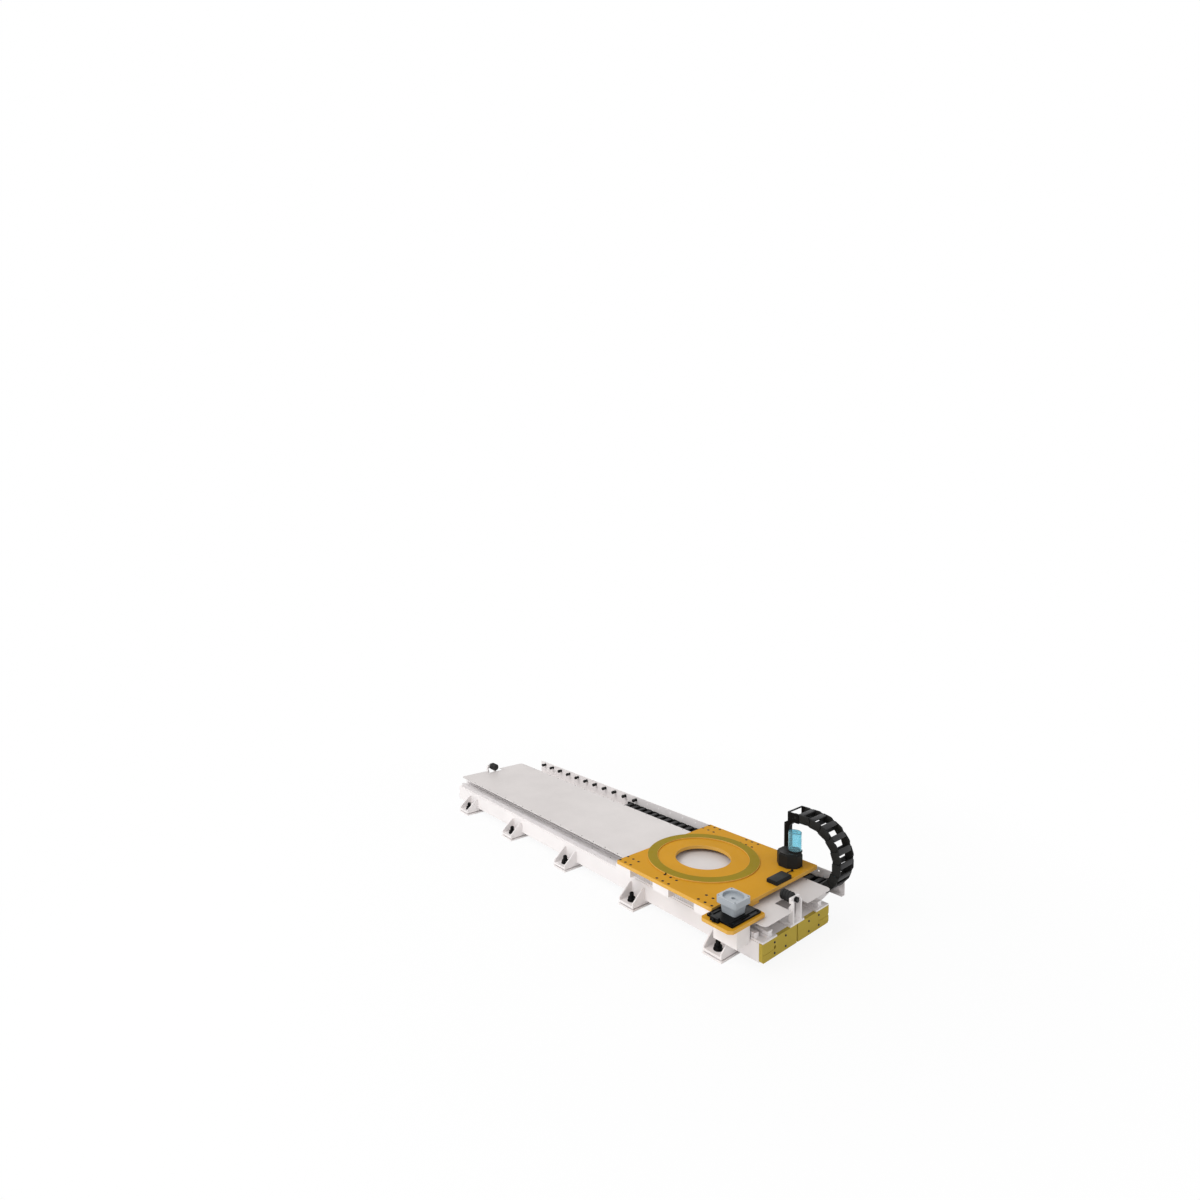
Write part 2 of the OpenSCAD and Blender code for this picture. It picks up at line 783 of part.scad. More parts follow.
module chain_bend_stays() {
  color("dimgray") place() for (i = [0 : bend_n - 1]) bend_link(i) link_stays();
}
module chain_upper_plates() {
  color("black") place() for (i = [0 : high_n - 1]) high_link(i) link_sides();
}
module chain_upper_stays() {
  color("dimgray") place() for (i = [0 : high_n - 1]) high_link(i) link_stays();
}
// Ears in the inner layer of the first link, with pins through its holes
module chain_fixed_bracket() {
  x0 = low_x - fixed_back;
  x1 = low_x + (link_pitch - stay_w) / 2 - 3;
  y0 = chain_y0 + link_t + layer_gap;
  color("black") place() {
    box(x0, x1, y0, chain_y0 + chain_y1 - y0, tray_z, tray_z + 4);
    for (s = [0, 1]) translate([0, s * (chain_y0 + chain_y1), 0]) mirror([0, s, 0]) {
      box(x0, x1, y0, chain_y0 + side_t, tray_z, low_z + chain_h / 2);
      translate([low_x, y0, low_z]) rotate([90, 0, 0]) cylinder(h = link_t + layer_gap, r = pin_r);
    }
  }
}

// Carriage
module at_groups() {
  both_sides() for (i = [0 : group_n - 1]) translate([group_x(i), 0, 0]) children();
}
module at_bolts() {
  at_groups() for (y = [-row_a, -row_b], k = [-1, 0, 1]) translate([k * bolt_step, y, 0]) children();
}
module plate_outline() {
  difference() {
    union() {
      rounded(plate_x0, plate_x1, -plate_w / 2, plate_w / 2, 6);
      translate([ring_x, 0]) circle(ring_r + 4, $fn = 96);
    }
    translate([notch_x, -plate_w / 2 - cut]) square([plate_l, notch_y + plate_w / 2 + cut]);
    translate([ring_x, 0]) circle(hole_r, $fn = 96);
  }
}
module carriage_plate() {
  color("orange") place() difference() {
    translate([0, 0, plate_z]) linear_extrude(plate_t) plate_outline();
    at_bolts() {
      rod(0, 0, plate_z - cut, plate_top, bolt_shank + fit);
      rod(0, 0, plate_top - bolt_head - fit, plate_top + cut, bolt_r + fit);
    }
    at_groups() for (y = [-row_a, -row_b]) rod(bolt_step / 2, y, plate_z - cut, plate_top + cut, 2.5);
  }
}
module robot_ring() {
  color("olive") place() difference() {
    translate([ring_x, 0, plate_top]) cylinder(h = ring_h, r = ring_r, $fn = 96);
    translate([ring_x, 0, plate_top - cut]) cylinder(h = ring_h + 2 * cut, r = ring_ri, $fn = 96);
    at_bolts() rod(0, 0, plate_top - cut, plate_top + ring_h + cut, bolt_r + 2);
  }
}
module risers() {
  color("white") place() at_groups() difference() {
    union() {
      box(-block_l / 2, block_l / 2, -riser_y1, -rail_y + block_w / 2, block_top, arm_top);
      box(-block_l / 2, block_l / 2, -riser_y1, -riser_y0, arm_top, plate_z);
    }
    for (y = [-row_a, -row_b], k = [-1, 0, 1])
      rod(k * bolt_step, y, plate_z - bolt_len, plate_z + cut, bolt_shank + fit);
    at_block_bolts() rod(0, 0, block_top - cut, arm_top + cut, bolt_r + fit);
  }
}
module riser_bolts() {
  color("black") place() at_bolts() {
    rod(0, 0, plate_top - bolt_head, plate_top, bolt_r);
    rod(0, 0, plate_z - bolt_len, plate_top - bolt_head, bolt_shank);
  }
}
module at_block_bolts() {
  for (x = [-block_l / 2 + 20, block_l / 2 - 20], y = [-22, 22]) translate([x, -rail_y + y, 0]) children();
}
module block_outline(inset) {
  z0 = seat_top + block_clear + inset;
  difference() {
    translate([-block_w / 2 + inset, z0]) square([block_w - 2 * inset, block_top - inset - z0]);
    translate([-rail_w / 2 - 2 * fit, z0 - cut])
      square([rail_w + 4 * fit, rail_top + 2 * fit - z0 + cut]);
  }
}
module bearing_blocks() {
  color("silver") place() at_groups() translate([-block_l / 2 + cap_t, -rail_y, 0]) rotate([90, 0, 90])
    linear_extrude(block_l - 2 * cap_t) block_outline(0);
}
module block_end_caps() {
  color("darkgreen") place() at_groups() for (x = [-block_l / 2, block_l / 2 - cap_t])
    translate([x, -rail_y, 0]) rotate([90, 0, 90]) linear_extrude(cap_t) block_outline(1.5);
}
module block_bolts() {
  color("dimgray") place() at_groups() at_block_bolts() rod(0, 0, block_top, arm_top - 2, bolt_r);
}

// Drive
module tab_outline() {
  polygon([
    [notch_x - 12, -plate_w / 2 - 3], [notch_x - 12, tab_y0 + tab_cut * 0.7],
    [notch_x - 12 + tab_cut * 0.7, tab_y0], [tab_x1 - tab_cut, tab_y0], [tab_x1, tab_y0 + tab_cut],
    [tab_x1, tab_y1 - 8], [tab_x1 - 8, tab_y1],
    [plate_x1 - 4, tab_y1], [plate_x1 - 4, tab_tail_y], [notch_x + 4, tab_tail_y],
    [notch_x + 4, -plate_w / 2 - 3]
  ]);
}
module drive_tab() {
  color("orange") place() difference() {
    translate([0, 0, tab_z]) linear_extrude(tab_t) tab_outline();
    rod(axis_x, axis_y, tab_z - cut, plate_z + cut, spigot_r + fit);
  }
}
module at_slide_screws() {
  for (x = [slide_x0 + 12, slide_x1 - 12], y = [slide_y0 + 12, slide_y1 - 12])
    translate([x, y, 0]) children();
}
// Two raised bars run along the slide plate, and a slot lies inside each
module reducer_slide_plate() {
  color("black") place() difference() {
    union() {
      translate([0, 0, plate_z]) linear_extrude(slide_t) rounded(slide_x0, slide_x1, slide_y0, slide_y1, 5);
      for (x = [slide_x0 + bar_in, slide_x1 - bar_in - bar_w])
        box(x, x + bar_w, slide_y0 + 8, slide_y1 - 8, slide_top, slide_top + bar_h);
    }
    rod(axis_x, axis_y, plate_z - cut, slide_top + cut, spigot_r + fit);
    at_slide_screws() rod(0, 0, plate_z - cut, slide_top + cut, 3.5);
    for (x = [slide_x0 + 6, slide_x1 - 6 - slot_w])
      box(x, x + slot_w, axis_y - slot_l / 2, axis_y + slot_l / 2, plate_z - cut, slide_top + cut);
  }
}
module slide_plate_screws() {
  color("black") place() at_slide_screws() {
    rod(0, 0, slide_top, slide_top + 5, 6);
    rod(0, 0, plate_z, slide_top, 3);
  }
}
module adjuster_block() {
  x0 = slide_x0 + 34;
  color("black") place() {
    box(x0, x0 + 44, slide_y0 - 18, slide_y0, plate_z, slide_top + 12);
    translate([x0 + 22, slide_y0 - 18, slide_top + 2]) rotate([90, 0, 0]) cylinder(h = 8, r = 7, $fn = 6);
  }
}
module reducer_body() {
  low = body_low_w / 2;
  top = body_top_w / 2;
  taper_h = reducer_h * 0.78;
  color("lightsteelblue") place() translate([axis_x, axis_y, 0]) {
    translate([0, 0, slide_top]) linear_extrude(taper_h, scale = top / low)
      rounded(-low, low, -low, low, body_r, $fn = 24);
    translate([0, 0, slide_top + taper_h]) linear_extrude(reducer_h - taper_h - groove_h)
      rounded(-top, top, -top, top, body_r);
    translate([0, 0, flange_z - groove_h]) linear_extrude(groove_h)
      rounded(-top + 3, top - 3, -top + 3, top - 3, body_r);
    difference() {
      translate([0, 0, tab_z - spigot_h]) cylinder(h = slide_top - tab_z + spigot_h, r = spigot_r);
      translate([0, 0, tab_z - spigot_h - cut]) cylinder(h = shaft_in + cut, r = shaft_r + shaft_fit);
    }
  }
}
module at_motor_screws() {
  for (a = [45 : 90 : 315]) rotate(a) translate([motor_pcd / 2, 0, 0]) children();
}
module motor_flange() {
  color("lightsteelblue") place() translate([axis_x, axis_y, flange_z]) difference() {
    linear_extrude(flange_t) rounded(-flange_w / 2, flange_w / 2, -flange_w / 2, flange_w / 2, flange_r);
    translate([0, 0, flange_t - recess_h]) cylinder(h = recess_h + cut, r = pilot_r);
    translate([0, 0, hub_z - flange_z - fit]) cylinder(h = flange_t, r = hub_r + fit);
    at_motor_screws() translate([0, 0, -cut]) cylinder(h = flange_t + 2 * cut, r = 4.2);
  }
}
module input_hub() {
  color("slategray") place() translate([axis_x, axis_y, hub_z]) difference() {
    cylinder(h = hub_h, r = hub_r);
    translate([0, 0, 3]) cylinder(h = hub_h, r = hub_bore_r);
    translate([0, -1, 3]) cube([hub_r + cut, 2, hub_h]);
  }
}
module pinion_guard() {
  color("white") place() difference() {
    box(axis_x - guard_x, axis_x + guard_x, guard_y0, guard_y1, guard_z, tab_z);
    box(axis_x - guard_x + guard_t, axis_x + guard_x - guard_t, guard_y0 + guard_t, guard_y1 + cut,
      guard_z + guard_t, tab_z + cut);
  }
}
module drive_pinion() {
  root = pinion_r - tooth_ded;
  base = max(root, pinion_r * cos(pressure));
  tip = pinion_r + tooth_add;
  steps = [for (k = [0 : 3]) base + (tip - base) * k / 3];
  color("silver") place() translate([axis_x, axis_y, 0]) {
    translate([0, 0, pinion_z]) linear_extrude(pinion_h) polygon([
      for (i = [0 : pinion_n - 1]) let(a = 90 + i * 360 / pinion_n) each concat(
        [polar(root, a - flank(base))],
        [for (r = steps) polar(r, a - flank(r))],
        [for (k = [3 : -1 : 0]) polar(steps[k], a + flank(steps[k]))],
        [polar(root, a + flank(base))]
      )
    ]);
    rod(0, 0, pinion_z + pinion_h, tab_z - spigot_h + shaft_in - fit, shaft_r);
    rod(0, 0, pinion_z - 4, pinion_z, shaft_r);
  }
}

// Lubricator
module octagon(w, h) {
  rotate(22.5) cylinder(h = h, d = w / cos(22.5), $fn = 8);
}
module pump_body() {
  color("black") place() translate([pump_x, pump_y, plate_top]) {
    octagon(pump_w, pump_h - pump_rim_h);
    translate([0, 0, pump_h - pump_rim_h]) octagon(pump_w - 2 * pump_rim, pump_rim_h);
  }
}
module grease_reservoir() {
  color("cyan") place() translate([jar_x, jar_y, plate_top + pump_h]) difference() {
    cylinder(h = jar_h, r = jar_r);
    translate([0, 0, -cut]) cylinder(h = jar_h + 2 * cut, r = jar_r - jar_wall);
  }
}
module reservoir_cap() {
  color("deepskyblue") place() translate([jar_x, jar_y, plate_top + pump_h + jar_h])
    cylinder(h = jar_cap_t, r = jar_r);
}
module distributor_box() {
  color("black") place() translate([0, 0, plate_top]) {
    linear_extrude(box_h - box_lid) rounded(box_x, box_x + box_w, box_y, box_y + box_d, box_r);
    translate([0, 0, box_h - box_lid]) linear_extrude(box_lid)
      rounded(box_x + box_lid, box_x + box_w - box_lid, box_y + box_lid, box_y + box_d - box_lid, box_r);
  }
}
module grease_pipe() {
  y0 = box_y + box_d;
  y1 = pump_y - pump_w / 2;
  color("black") place() translate([box_x + pipe_in, y0, plate_top + pipe_r + pipe_up]) rotate([-90, 0, 0])
    cylinder(h = y1 - y0, r = pipe_r);
}

// Post and bracket that carry the moving end of the chain
module post_bore(h) {
  box(post_x + post_wall, post_x + post_w - post_wall, post_y + post_wall, post_y + post_w - post_wall,
    plate_top - cut, plate_top + h + cut);
}
module chain_post() {
  color("black") place() difference() {
    union() {
      box(post_x, post_x + post_w, post_y, post_y + post_w, plate_top, post_z);
      box(post_x - post_foot, post_x + post_w + post_foot, post_y, post_y + post_w,
        plate_top, plate_top + post_foot_t);
    }
    post_bore(post_z - plate_top);
  }
}
// Square-ended ears in the outer layer of the last link, a bar across them and a braced head on the post
module chain_end_bracket() {
  head_x = post_x + post_w;
  color("black") place() {
    box(ear_x, ear_end, chain_y0, chain_y1, bracket_z, post_top);
    box(ear_x, ear_x + end_bar_w, chain_y0, chain_y1, high_z + chain_h / 2 - end_bar_h, high_z + chain_h / 2);
    for (s = [0, 1]) translate([0, s * (chain_y0 + chain_y1), 0]) mirror([0, s, 0]) bracket_ear();
    translate([0, post_y + post_w, 0]) rotate([90, 0, 0]) linear_extrude(post_w) polygon([
      [post_x, post_z], [ear_x, bracket_z], [head_x + brace_l, bracket_z], [head_x, bracket_z - brace_h],
      [head_x, post_z]
    ]);
  }
}
module bracket_ear() {
  translate([0, chain_y0 + link_t, 0]) rotate([90, 0, 0]) linear_extrude(link_t) difference() {
    union() {
      translate([high_x, high_z]) circle(d = chain_h);
      translate([ear_x, post_top]) square([ear_l, chain_h + fit]);
      translate([ear_x, post_top]) square([ear_end - ear_x, chain_h / 2]);
    }
    translate([high_x, high_z]) circle(pin_r + fit);
  }
}

front_beam();
rear_beam();
tie_plates();
rail_seats();
front_rail();
rear_rail();
rail_bolts();
gear_rack();
rack_bolts();
end_plates();
far_end_plates();
end_plate_screws();
foot_brackets();
floor_pads();
levelling_bolts();
levelling_nuts();
cover_plate();
cover_stiffeners();
cover_rivets();
cover_posts();
cable_tray();
tray_brackets();
chain_rest_pegs();
bumper_brackets();
bumpers();
bumper_nuts();
chain_fixed_bracket();
chain_static_plates();
chain_static_stays();
chain_lifting_plates();
chain_lifting_stays();
carriage_plate();
robot_ring();
risers();
riser_bolts();
bearing_blocks();
block_end_caps();
block_bolts();
drive_tab();
reducer_slide_plate();
slide_plate_screws();
adjuster_block();
reducer_body();
motor_flange();
pinion_guard();
pump_body();
grease_reservoir();
reservoir_cap();
distributor_box();
grease_pipe();
chain_post();
chain_end_bracket();
chain_upper_plates();
chain_upper_stays();
drive_pinion();
input_hub();
chain_bend_plates();
chain_bend_stays();
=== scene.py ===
import json
import math

import bpy
import bmesh
from mathutils import Matrix, Vector


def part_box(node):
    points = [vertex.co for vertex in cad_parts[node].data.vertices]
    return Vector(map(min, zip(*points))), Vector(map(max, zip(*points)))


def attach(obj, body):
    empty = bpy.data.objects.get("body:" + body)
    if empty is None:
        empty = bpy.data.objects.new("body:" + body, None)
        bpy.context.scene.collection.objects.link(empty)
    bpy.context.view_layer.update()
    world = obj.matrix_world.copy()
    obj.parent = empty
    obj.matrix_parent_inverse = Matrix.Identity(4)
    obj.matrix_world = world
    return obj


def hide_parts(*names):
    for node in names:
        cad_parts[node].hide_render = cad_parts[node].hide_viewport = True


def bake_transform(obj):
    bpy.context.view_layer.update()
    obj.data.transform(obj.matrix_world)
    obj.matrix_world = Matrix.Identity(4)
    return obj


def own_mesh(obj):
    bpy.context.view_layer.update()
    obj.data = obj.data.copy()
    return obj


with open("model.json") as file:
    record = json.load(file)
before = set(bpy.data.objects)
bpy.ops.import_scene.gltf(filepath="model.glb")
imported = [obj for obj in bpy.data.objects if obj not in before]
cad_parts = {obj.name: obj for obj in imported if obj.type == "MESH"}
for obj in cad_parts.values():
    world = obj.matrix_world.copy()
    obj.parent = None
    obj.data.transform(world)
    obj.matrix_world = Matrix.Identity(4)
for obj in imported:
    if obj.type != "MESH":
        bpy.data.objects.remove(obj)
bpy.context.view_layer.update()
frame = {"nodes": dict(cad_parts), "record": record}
nodes = frame["nodes"]
record = frame["record"]
nodeBody = {n: body for body, names in record["behaviour"]["bodies"].items() for n in names}
nodeSlot = {part["node"]: part["material_slot"] for part in record["subparts"]}
mm = 0.001
print("frame loaded:", len(nodes), "nodes")

# camera at the photograph's place, in metres
cameraSet = {
    "place": (2.9806, -2.5703, 1.7221),
    "turn": 49.85,  # degrees round from looking along +Y
    "down": 2.45,
    "lens": 19.52,
    "sensor": 36.0,
    "clipEnd": 60.0,
}


def makeCamera(s):
    data = bpy.data.cameras.new("photoCamera")
    data.lens = s["lens"]
    data.sensor_width = s["sensor"]
    data.clip_end = s["clipEnd"]
    cam = bpy.data.objects.new("photoCamera", data)
    bpy.context.scene.collection.objects.link(cam)
    cam.location = s["place"]
    cam.rotation_euler = (math.radians(90 - s["down"]), 0, math.radians(s["turn"]))
    bpy.context.scene.camera = cam


makeCamera(cameraSet)
print("camera set")


# shader helpers: a value is a plain constant or another node's output

def setOrLink(tree, spot, value):
    if isinstance(value, bpy.types.NodeSocket):
        tree.links.new(value, spot)
    else:
        spot.default_value = value


def mathOf(tree, operation, a, b):
    node = tree.nodes.new("ShaderNodeMath")
    node.operation = operation
    tree.links.new(a, node.inputs[0])
    tree.links.new(b, node.inputs[1])
    return node.outputs[0]


def rangeOf(tree, value, span, low, high, curve="LINEAR"):
    # moves a span of the value to the range from low to high
    node = tree.nodes.new("ShaderNodeMapRange")
    node.interpolation_type = curve
    node.inputs["From Min"].default_value, node.inputs["From Max"].default_value = span
    setOrLink(tree, node.inputs["To Min"], low)
    setOrLink(tree, node.inputs["To Max"], high)
    tree.links.new(value, node.inputs["Value"])
    return node.outputs["Result"]


def mixColour(tree, factor, a, b):
    mix = tree.nodes.new("ShaderNodeMix")
    mix.data_type = "RGBA"
    for name, value in (("Factor", factor), ("A", a), ("B", b)):
        spot = [s for s in mix.inputs if s.name == name and s.enabled][0]
        setOrLink(tree, spot, value)
    return [s for s in mix.outputs if s.enabled][0]


def noise(tree, coords, scale, detail, stretch=None):
    if stretch:
        turn = tree.nodes.new("ShaderNodeMapping")
        turn.inputs["Scale"].default_value = stretch
        tree.links.new(coords, turn.inputs["Vector"])
        coords = turn.outputs["Vector"]
    node = tree.nodes.new("ShaderNodeTexNoise")
    node.inputs["Detail"].default_value = detail
    tree.links.new(coords, node.inputs["Vector"])
    setOrLink(tree, node.inputs["Scale"], scale)
    return node.outputs["Fac"]


studio = {
    "floorSize": 40.0,
    "floorColour": (0.93, 0.93, 0.93, 1),
    "floorRough": 0.9,
    "floorShine": 0.1,
    "floorGlow": 0.9,  # share of plain white that the camera sees in the floor by the object
    "whiteSpan": (1.6, 3.2),  # metres from the middle: here the floor goes over to plain white
    "skyLight": 0.6,  # what the sky gives the object
    "lamps": [  # name, place, size, power, each aimed at the middle of the track
        ("keyLamp", (-1.8, -6.0, 6.6), 4.5, 328),
        ("frontLamp", (2.0, -7.0, 1.2), 4.0, 98),
        ("endLamp", (4.6, 0.4, 2.0), 2.4, 5),
        ("rearLamp", (-2.6, 3.6, 3.4), 3.0, 45),
    ],
}


def seenRays(tree):
    # 1 where the camera sees something straight, in a reflection or through something clear
    path = tree.nodes.new("ShaderNodeLightPath")
    value = path.outputs["Is Camera Ray"]
    for name in ("Is Glossy Ray", "Is Transmission Ray"):
        value = mathOf(tree, "MAXIMUM", value, path.outputs[name])
    return value


def makeSky(s):
    world = bpy.data.worlds.new("studioSky")
    bpy.context.scene.world = world
    world.use_nodes = True
    tree = world.node_tree
    tree.nodes.clear()
    out = tree.nodes.new("ShaderNodeOutputWorld")
    back = tree.nodes.new("ShaderNodeBackground")
    back.inputs["Color"].default_value = (1, 1, 1, 1)
    level = rangeOf(tree, seenRays(tree), (0, 1), s["skyLight"], 1.0)
    tree.links.new(level, back.inputs["Strength"])
    tree.links.new(back.outputs[0], out.inputs["Surface"])


def makeLamps(s):
    for name, place, size, power in s["lamps"]:
        data = bpy.data.lights.new(name, "AREA")
        data.size = size
        data.energy = power
        lamp = bpy.data.objects.new(name, data)
        bpy.context.scene.collection.objects.link(lamp)
        lamp.location = place
        lamp.rotation_euler = (-Vector(place)).to_track_quat("-Z", "Y").to_euler()


def makeFloorPaint(s):
    mat = bpy.data.materials.new("floorPale")
    mat.use_nodes = True
    tree = mat.node_tree
    shader = tree.nodes["Principled BSDF"]
    shader.inputs["Base Color"].default_value = s["floorColour"]
    shader.inputs["Roughness"].default_value = s["floorRough"]
    shader.inputs["Specular IOR Level"].default_value = s["floorShine"]
    glow = tree.nodes.new("ShaderNodeEmission")
    place = tree.nodes.new("ShaderNodeTexCoord")
    away = tree.nodes.new("ShaderNodeVectorMath")
    away.operation = "LENGTH"
    tree.links.new(place.outputs["Object"], away.inputs[0])
    fade = rangeOf(tree, away.outputs["Value"], s["whiteSpan"], s["floorGlow"], 1.0, "SMOOTHSTEP")
    mix = tree.nodes.new("ShaderNodeMixShader")
    tree.links.new(mathOf(tree, "MULTIPLY", seenRays(tree), fade), mix.inputs["Fac"])
    tree.links.new(shader.outputs[0], mix.inputs[1])
    tree.links.new(glow.outputs[0], mix.inputs[2])
    tree.links.new(mix.outputs[0], tree.nodes["Material Output"].inputs["Surface"])
    return mat


def makeFloor(s):
    bm = bmesh.new()
    bmesh.ops.create_grid(bm, x_segments=1, y_segments=1, size=s["floorSize"] / 2)
    mesh = bpy.data.meshes.new("studioFloor")
    bm.to_mesh(mesh)
    bm.free()
    floor = bpy.data.objects.new("studioFloor", mesh)
    bpy.context.scene.collection.objects.link(floor)
    mesh.materials.append(makeFloorPaint(s))


bpy.context.scene.view_settings.view_transform = "Standard"
makeSky(studio)
makeLamps(studio)
makeFloor(studio)
print("studio set")


# shader groups, shared by the finishes: each gives a colour, a roughness and a height

def newGroup(name, inputs):
    group = bpy.data.node_groups.new(name, "ShaderNodeTree")
    for label, default in inputs.items():
        kind = "NodeSocketFloat" if isinstance(default, float) else "NodeSocketColor"
        made = group.interface.new_socket(name=label, in_out="INPUT", socket_type=kind)
        made.default_value = default
    for label, kind in (("Colour", "Color"), ("Roughness", "Float"), ("Height", "Float")):
        group.interface.new_socket(name=label, in_out="OUTPUT", socket_type="NodeSocket" + kind)
    inp = group.nodes.new("NodeGroupInput").outputs
    out = group.nodes.new("NodeGroupOutput").inputs
    place = group.nodes.new("ShaderNodeTexCoord").outputs["Object"]
    return group, inp, out, place


paintSet = {
    "inputs": {
        "Colour": (1, 1, 1, 1),
        "Rub Colour": (0.5, 0.5, 0.5, 1),
        "Drift": 0.06,
        "Peel Scale": 420.0,
        "Rub": 0.25,
        "Smooth": 0.34,
        "Rough": 0.46,
    },
    "driftScale": 5.0,
    "driftSpan": (0.35, 0.65),
    "driftTo": (0, 0, 0, 1),
    "patchScale": 38.0,
    "patchDetail": 4.0,
    "patchSpan": (0.42, 0.62),  # where the edges' rub shows
    "roughSpan": (0.3, 0.7),
    "fewDetails": 2.0,
    "edge": 1.6 * mm,
    "edgeSamples": 4,
    "edgeSpan": (0.97, 0.78),  # how far the rounded normal agrees with the flat one
}


def makePaintGroup(s):
    # a sprayed coat: slow drift of tone, orange peel, and a faint rub on the edges
    group, inp, out, place = newGroup("sprayedCoat", s["inputs"])
    slow = noise(group, place, s["driftScale"], s["fewDetails"])
    fine = noise(group, place, inp["Peel Scale"], s["fewDetails"])
    patch = noise(group, place, s["patchScale"], s["patchDetail"])
    slowShare = rangeOf(group, slow, s["driftSpan"], 0.0, 1.0)
    drift = mathOf(group, "MULTIPLY", slowShare, inp["Drift"])
    toned = mixColour(group, drift, inp["Colour"], s["driftTo"])

    bevel = group.nodes.new("ShaderNodeBevel")
    bevel.samples = s["edgeSamples"]
    bevel.inputs["Radius"].default_value = s["edge"]
    shape = group.nodes.new("ShaderNodeNewGeometry")
    dot = group.nodes.new("ShaderNodeVectorMath")
    dot.operation = "DOT_PRODUCT"
    group.links.new(bevel.outputs["Normal"], dot.inputs[0])
    group.links.new(shape.outputs["Normal"], dot.inputs[1])
    edge = rangeOf(group, dot.outputs["Value"], s["edgeSpan"], 0.0, inp["Rub"])
    worn = mathOf(group, "MULTIPLY", edge, rangeOf(group, patch, s["patchSpan"], 0.0, 1.0))
    group.links.new(mixColour(group, worn, toned, inp["Rub Colour"]), out["Colour"])
    rough = rangeOf(group, patch, s["roughSpan"], inp["Smooth"], inp["Rough"])
    group.links.new(rough, out["Roughness"])
    group.links.new(fine, out["Height"])
    return group


metalSet = {
    "inputs": {
        "Colour": (0.6, 0.6, 0.6, 1),
        "Line Scale": 900.0,
        "Marks": 0.3,
        "Smooth": 0.22,
        "Rough": 0.42,
    },
    "lineDetail": 3.0,
    "lineStretch": (0.02, 1, 1),  # drawn out along the track
    "roughSpan": (0.3, 0.7),
    "markScale": 24.0,
    "markDetail": 4.0,
    "markSpan": (0.35, 0.75),
    "markColour": (0.12, 0.12, 0.12, 1),
}


def makeMetalGroup(s):
    # ground or turned steel: fine lines along one way, with darker handling marks
    group, inp, out, place = newGroup("groundSteel", s["inputs"])
    lines = noise(group, place, inp["Line Scale"], s["lineDetail"], s["lineStretch"])
    marks = noise(group, place, s["markScale"], s["markDetail"])
    marked = rangeOf(group, marks, s["markSpan"], 0.0, inp["Marks"])
    group.links.new(mixColour(group, marked, inp["Colour"], s["markColour"]), out["Colour"])
    rough = rangeOf(group, lines, s["roughSpan"], inp["Smooth"], inp["Rough"])
    group.links.new(rough, out["Roughness"])
    group.links.new(lines, out["Height"])
    return group


mouldSet = {
    "inputs": {
        "Colour": (0.02, 0.02, 0.02, 1),
        "Bloom Colour": (0.12, 0.12, 0.12, 1),
        "Bloom": 0.2,
        "Grain Scale": 700.0,
        "Smooth": 0.42,
        "Rough": 0.62,
    },
    "grainDetail": 2.0,
    "cloudScale": 14.0,
    "cloudDetail": 4.0,
    "bloomSpan": (0.4, 0.7),
    "roughSpan": (0.3, 0.7),
}


def makeMouldGroup(s):
    # moulded plastic or rubber: spark-eroded grain and a dusty bloom
    group, inp, out, place = newGroup("mouldedGrain", s["inputs"])
    grain = noise(group, place, inp["Grain Scale"], s["grainDetail"])
    cloud = noise(group, place, s["cloudScale"], s["cloudDetail"])
    dusty = rangeOf(group, cloud, s["bloomSpan"], 0.0, 1.0)
    bloom = mathOf(group, "MULTIPLY", dusty, inp["Bloom"])
    group.links.new(mixColour(group, bloom, inp["Colour"], inp["Bloom Colour"]), out["Colour"])
    rough = rangeOf(group, cloud, s["roughSpan"], inp["Smooth"], inp["Rough"])
    group.links.new(rough, out["Roughness"])
    group.links.new(grain, out["Height"])
    return group


groups = {
    "paint": makePaintGroup(paintSet),
    "metal": makeMetalGroup(metalSet),
    "mould": makeMouldGroup(mouldSet),
}


def fromScreen(r, g, b):
    # a screen colour, 0 to 255, as the renderer's linear colour
    def linear(v):
        v /= 255
        return v / 12.92 if v <= 0.04045 else ((v + 0.055) / 1.055) ** 2.4
    return (linear(r), linear(g), linear(b), 1)


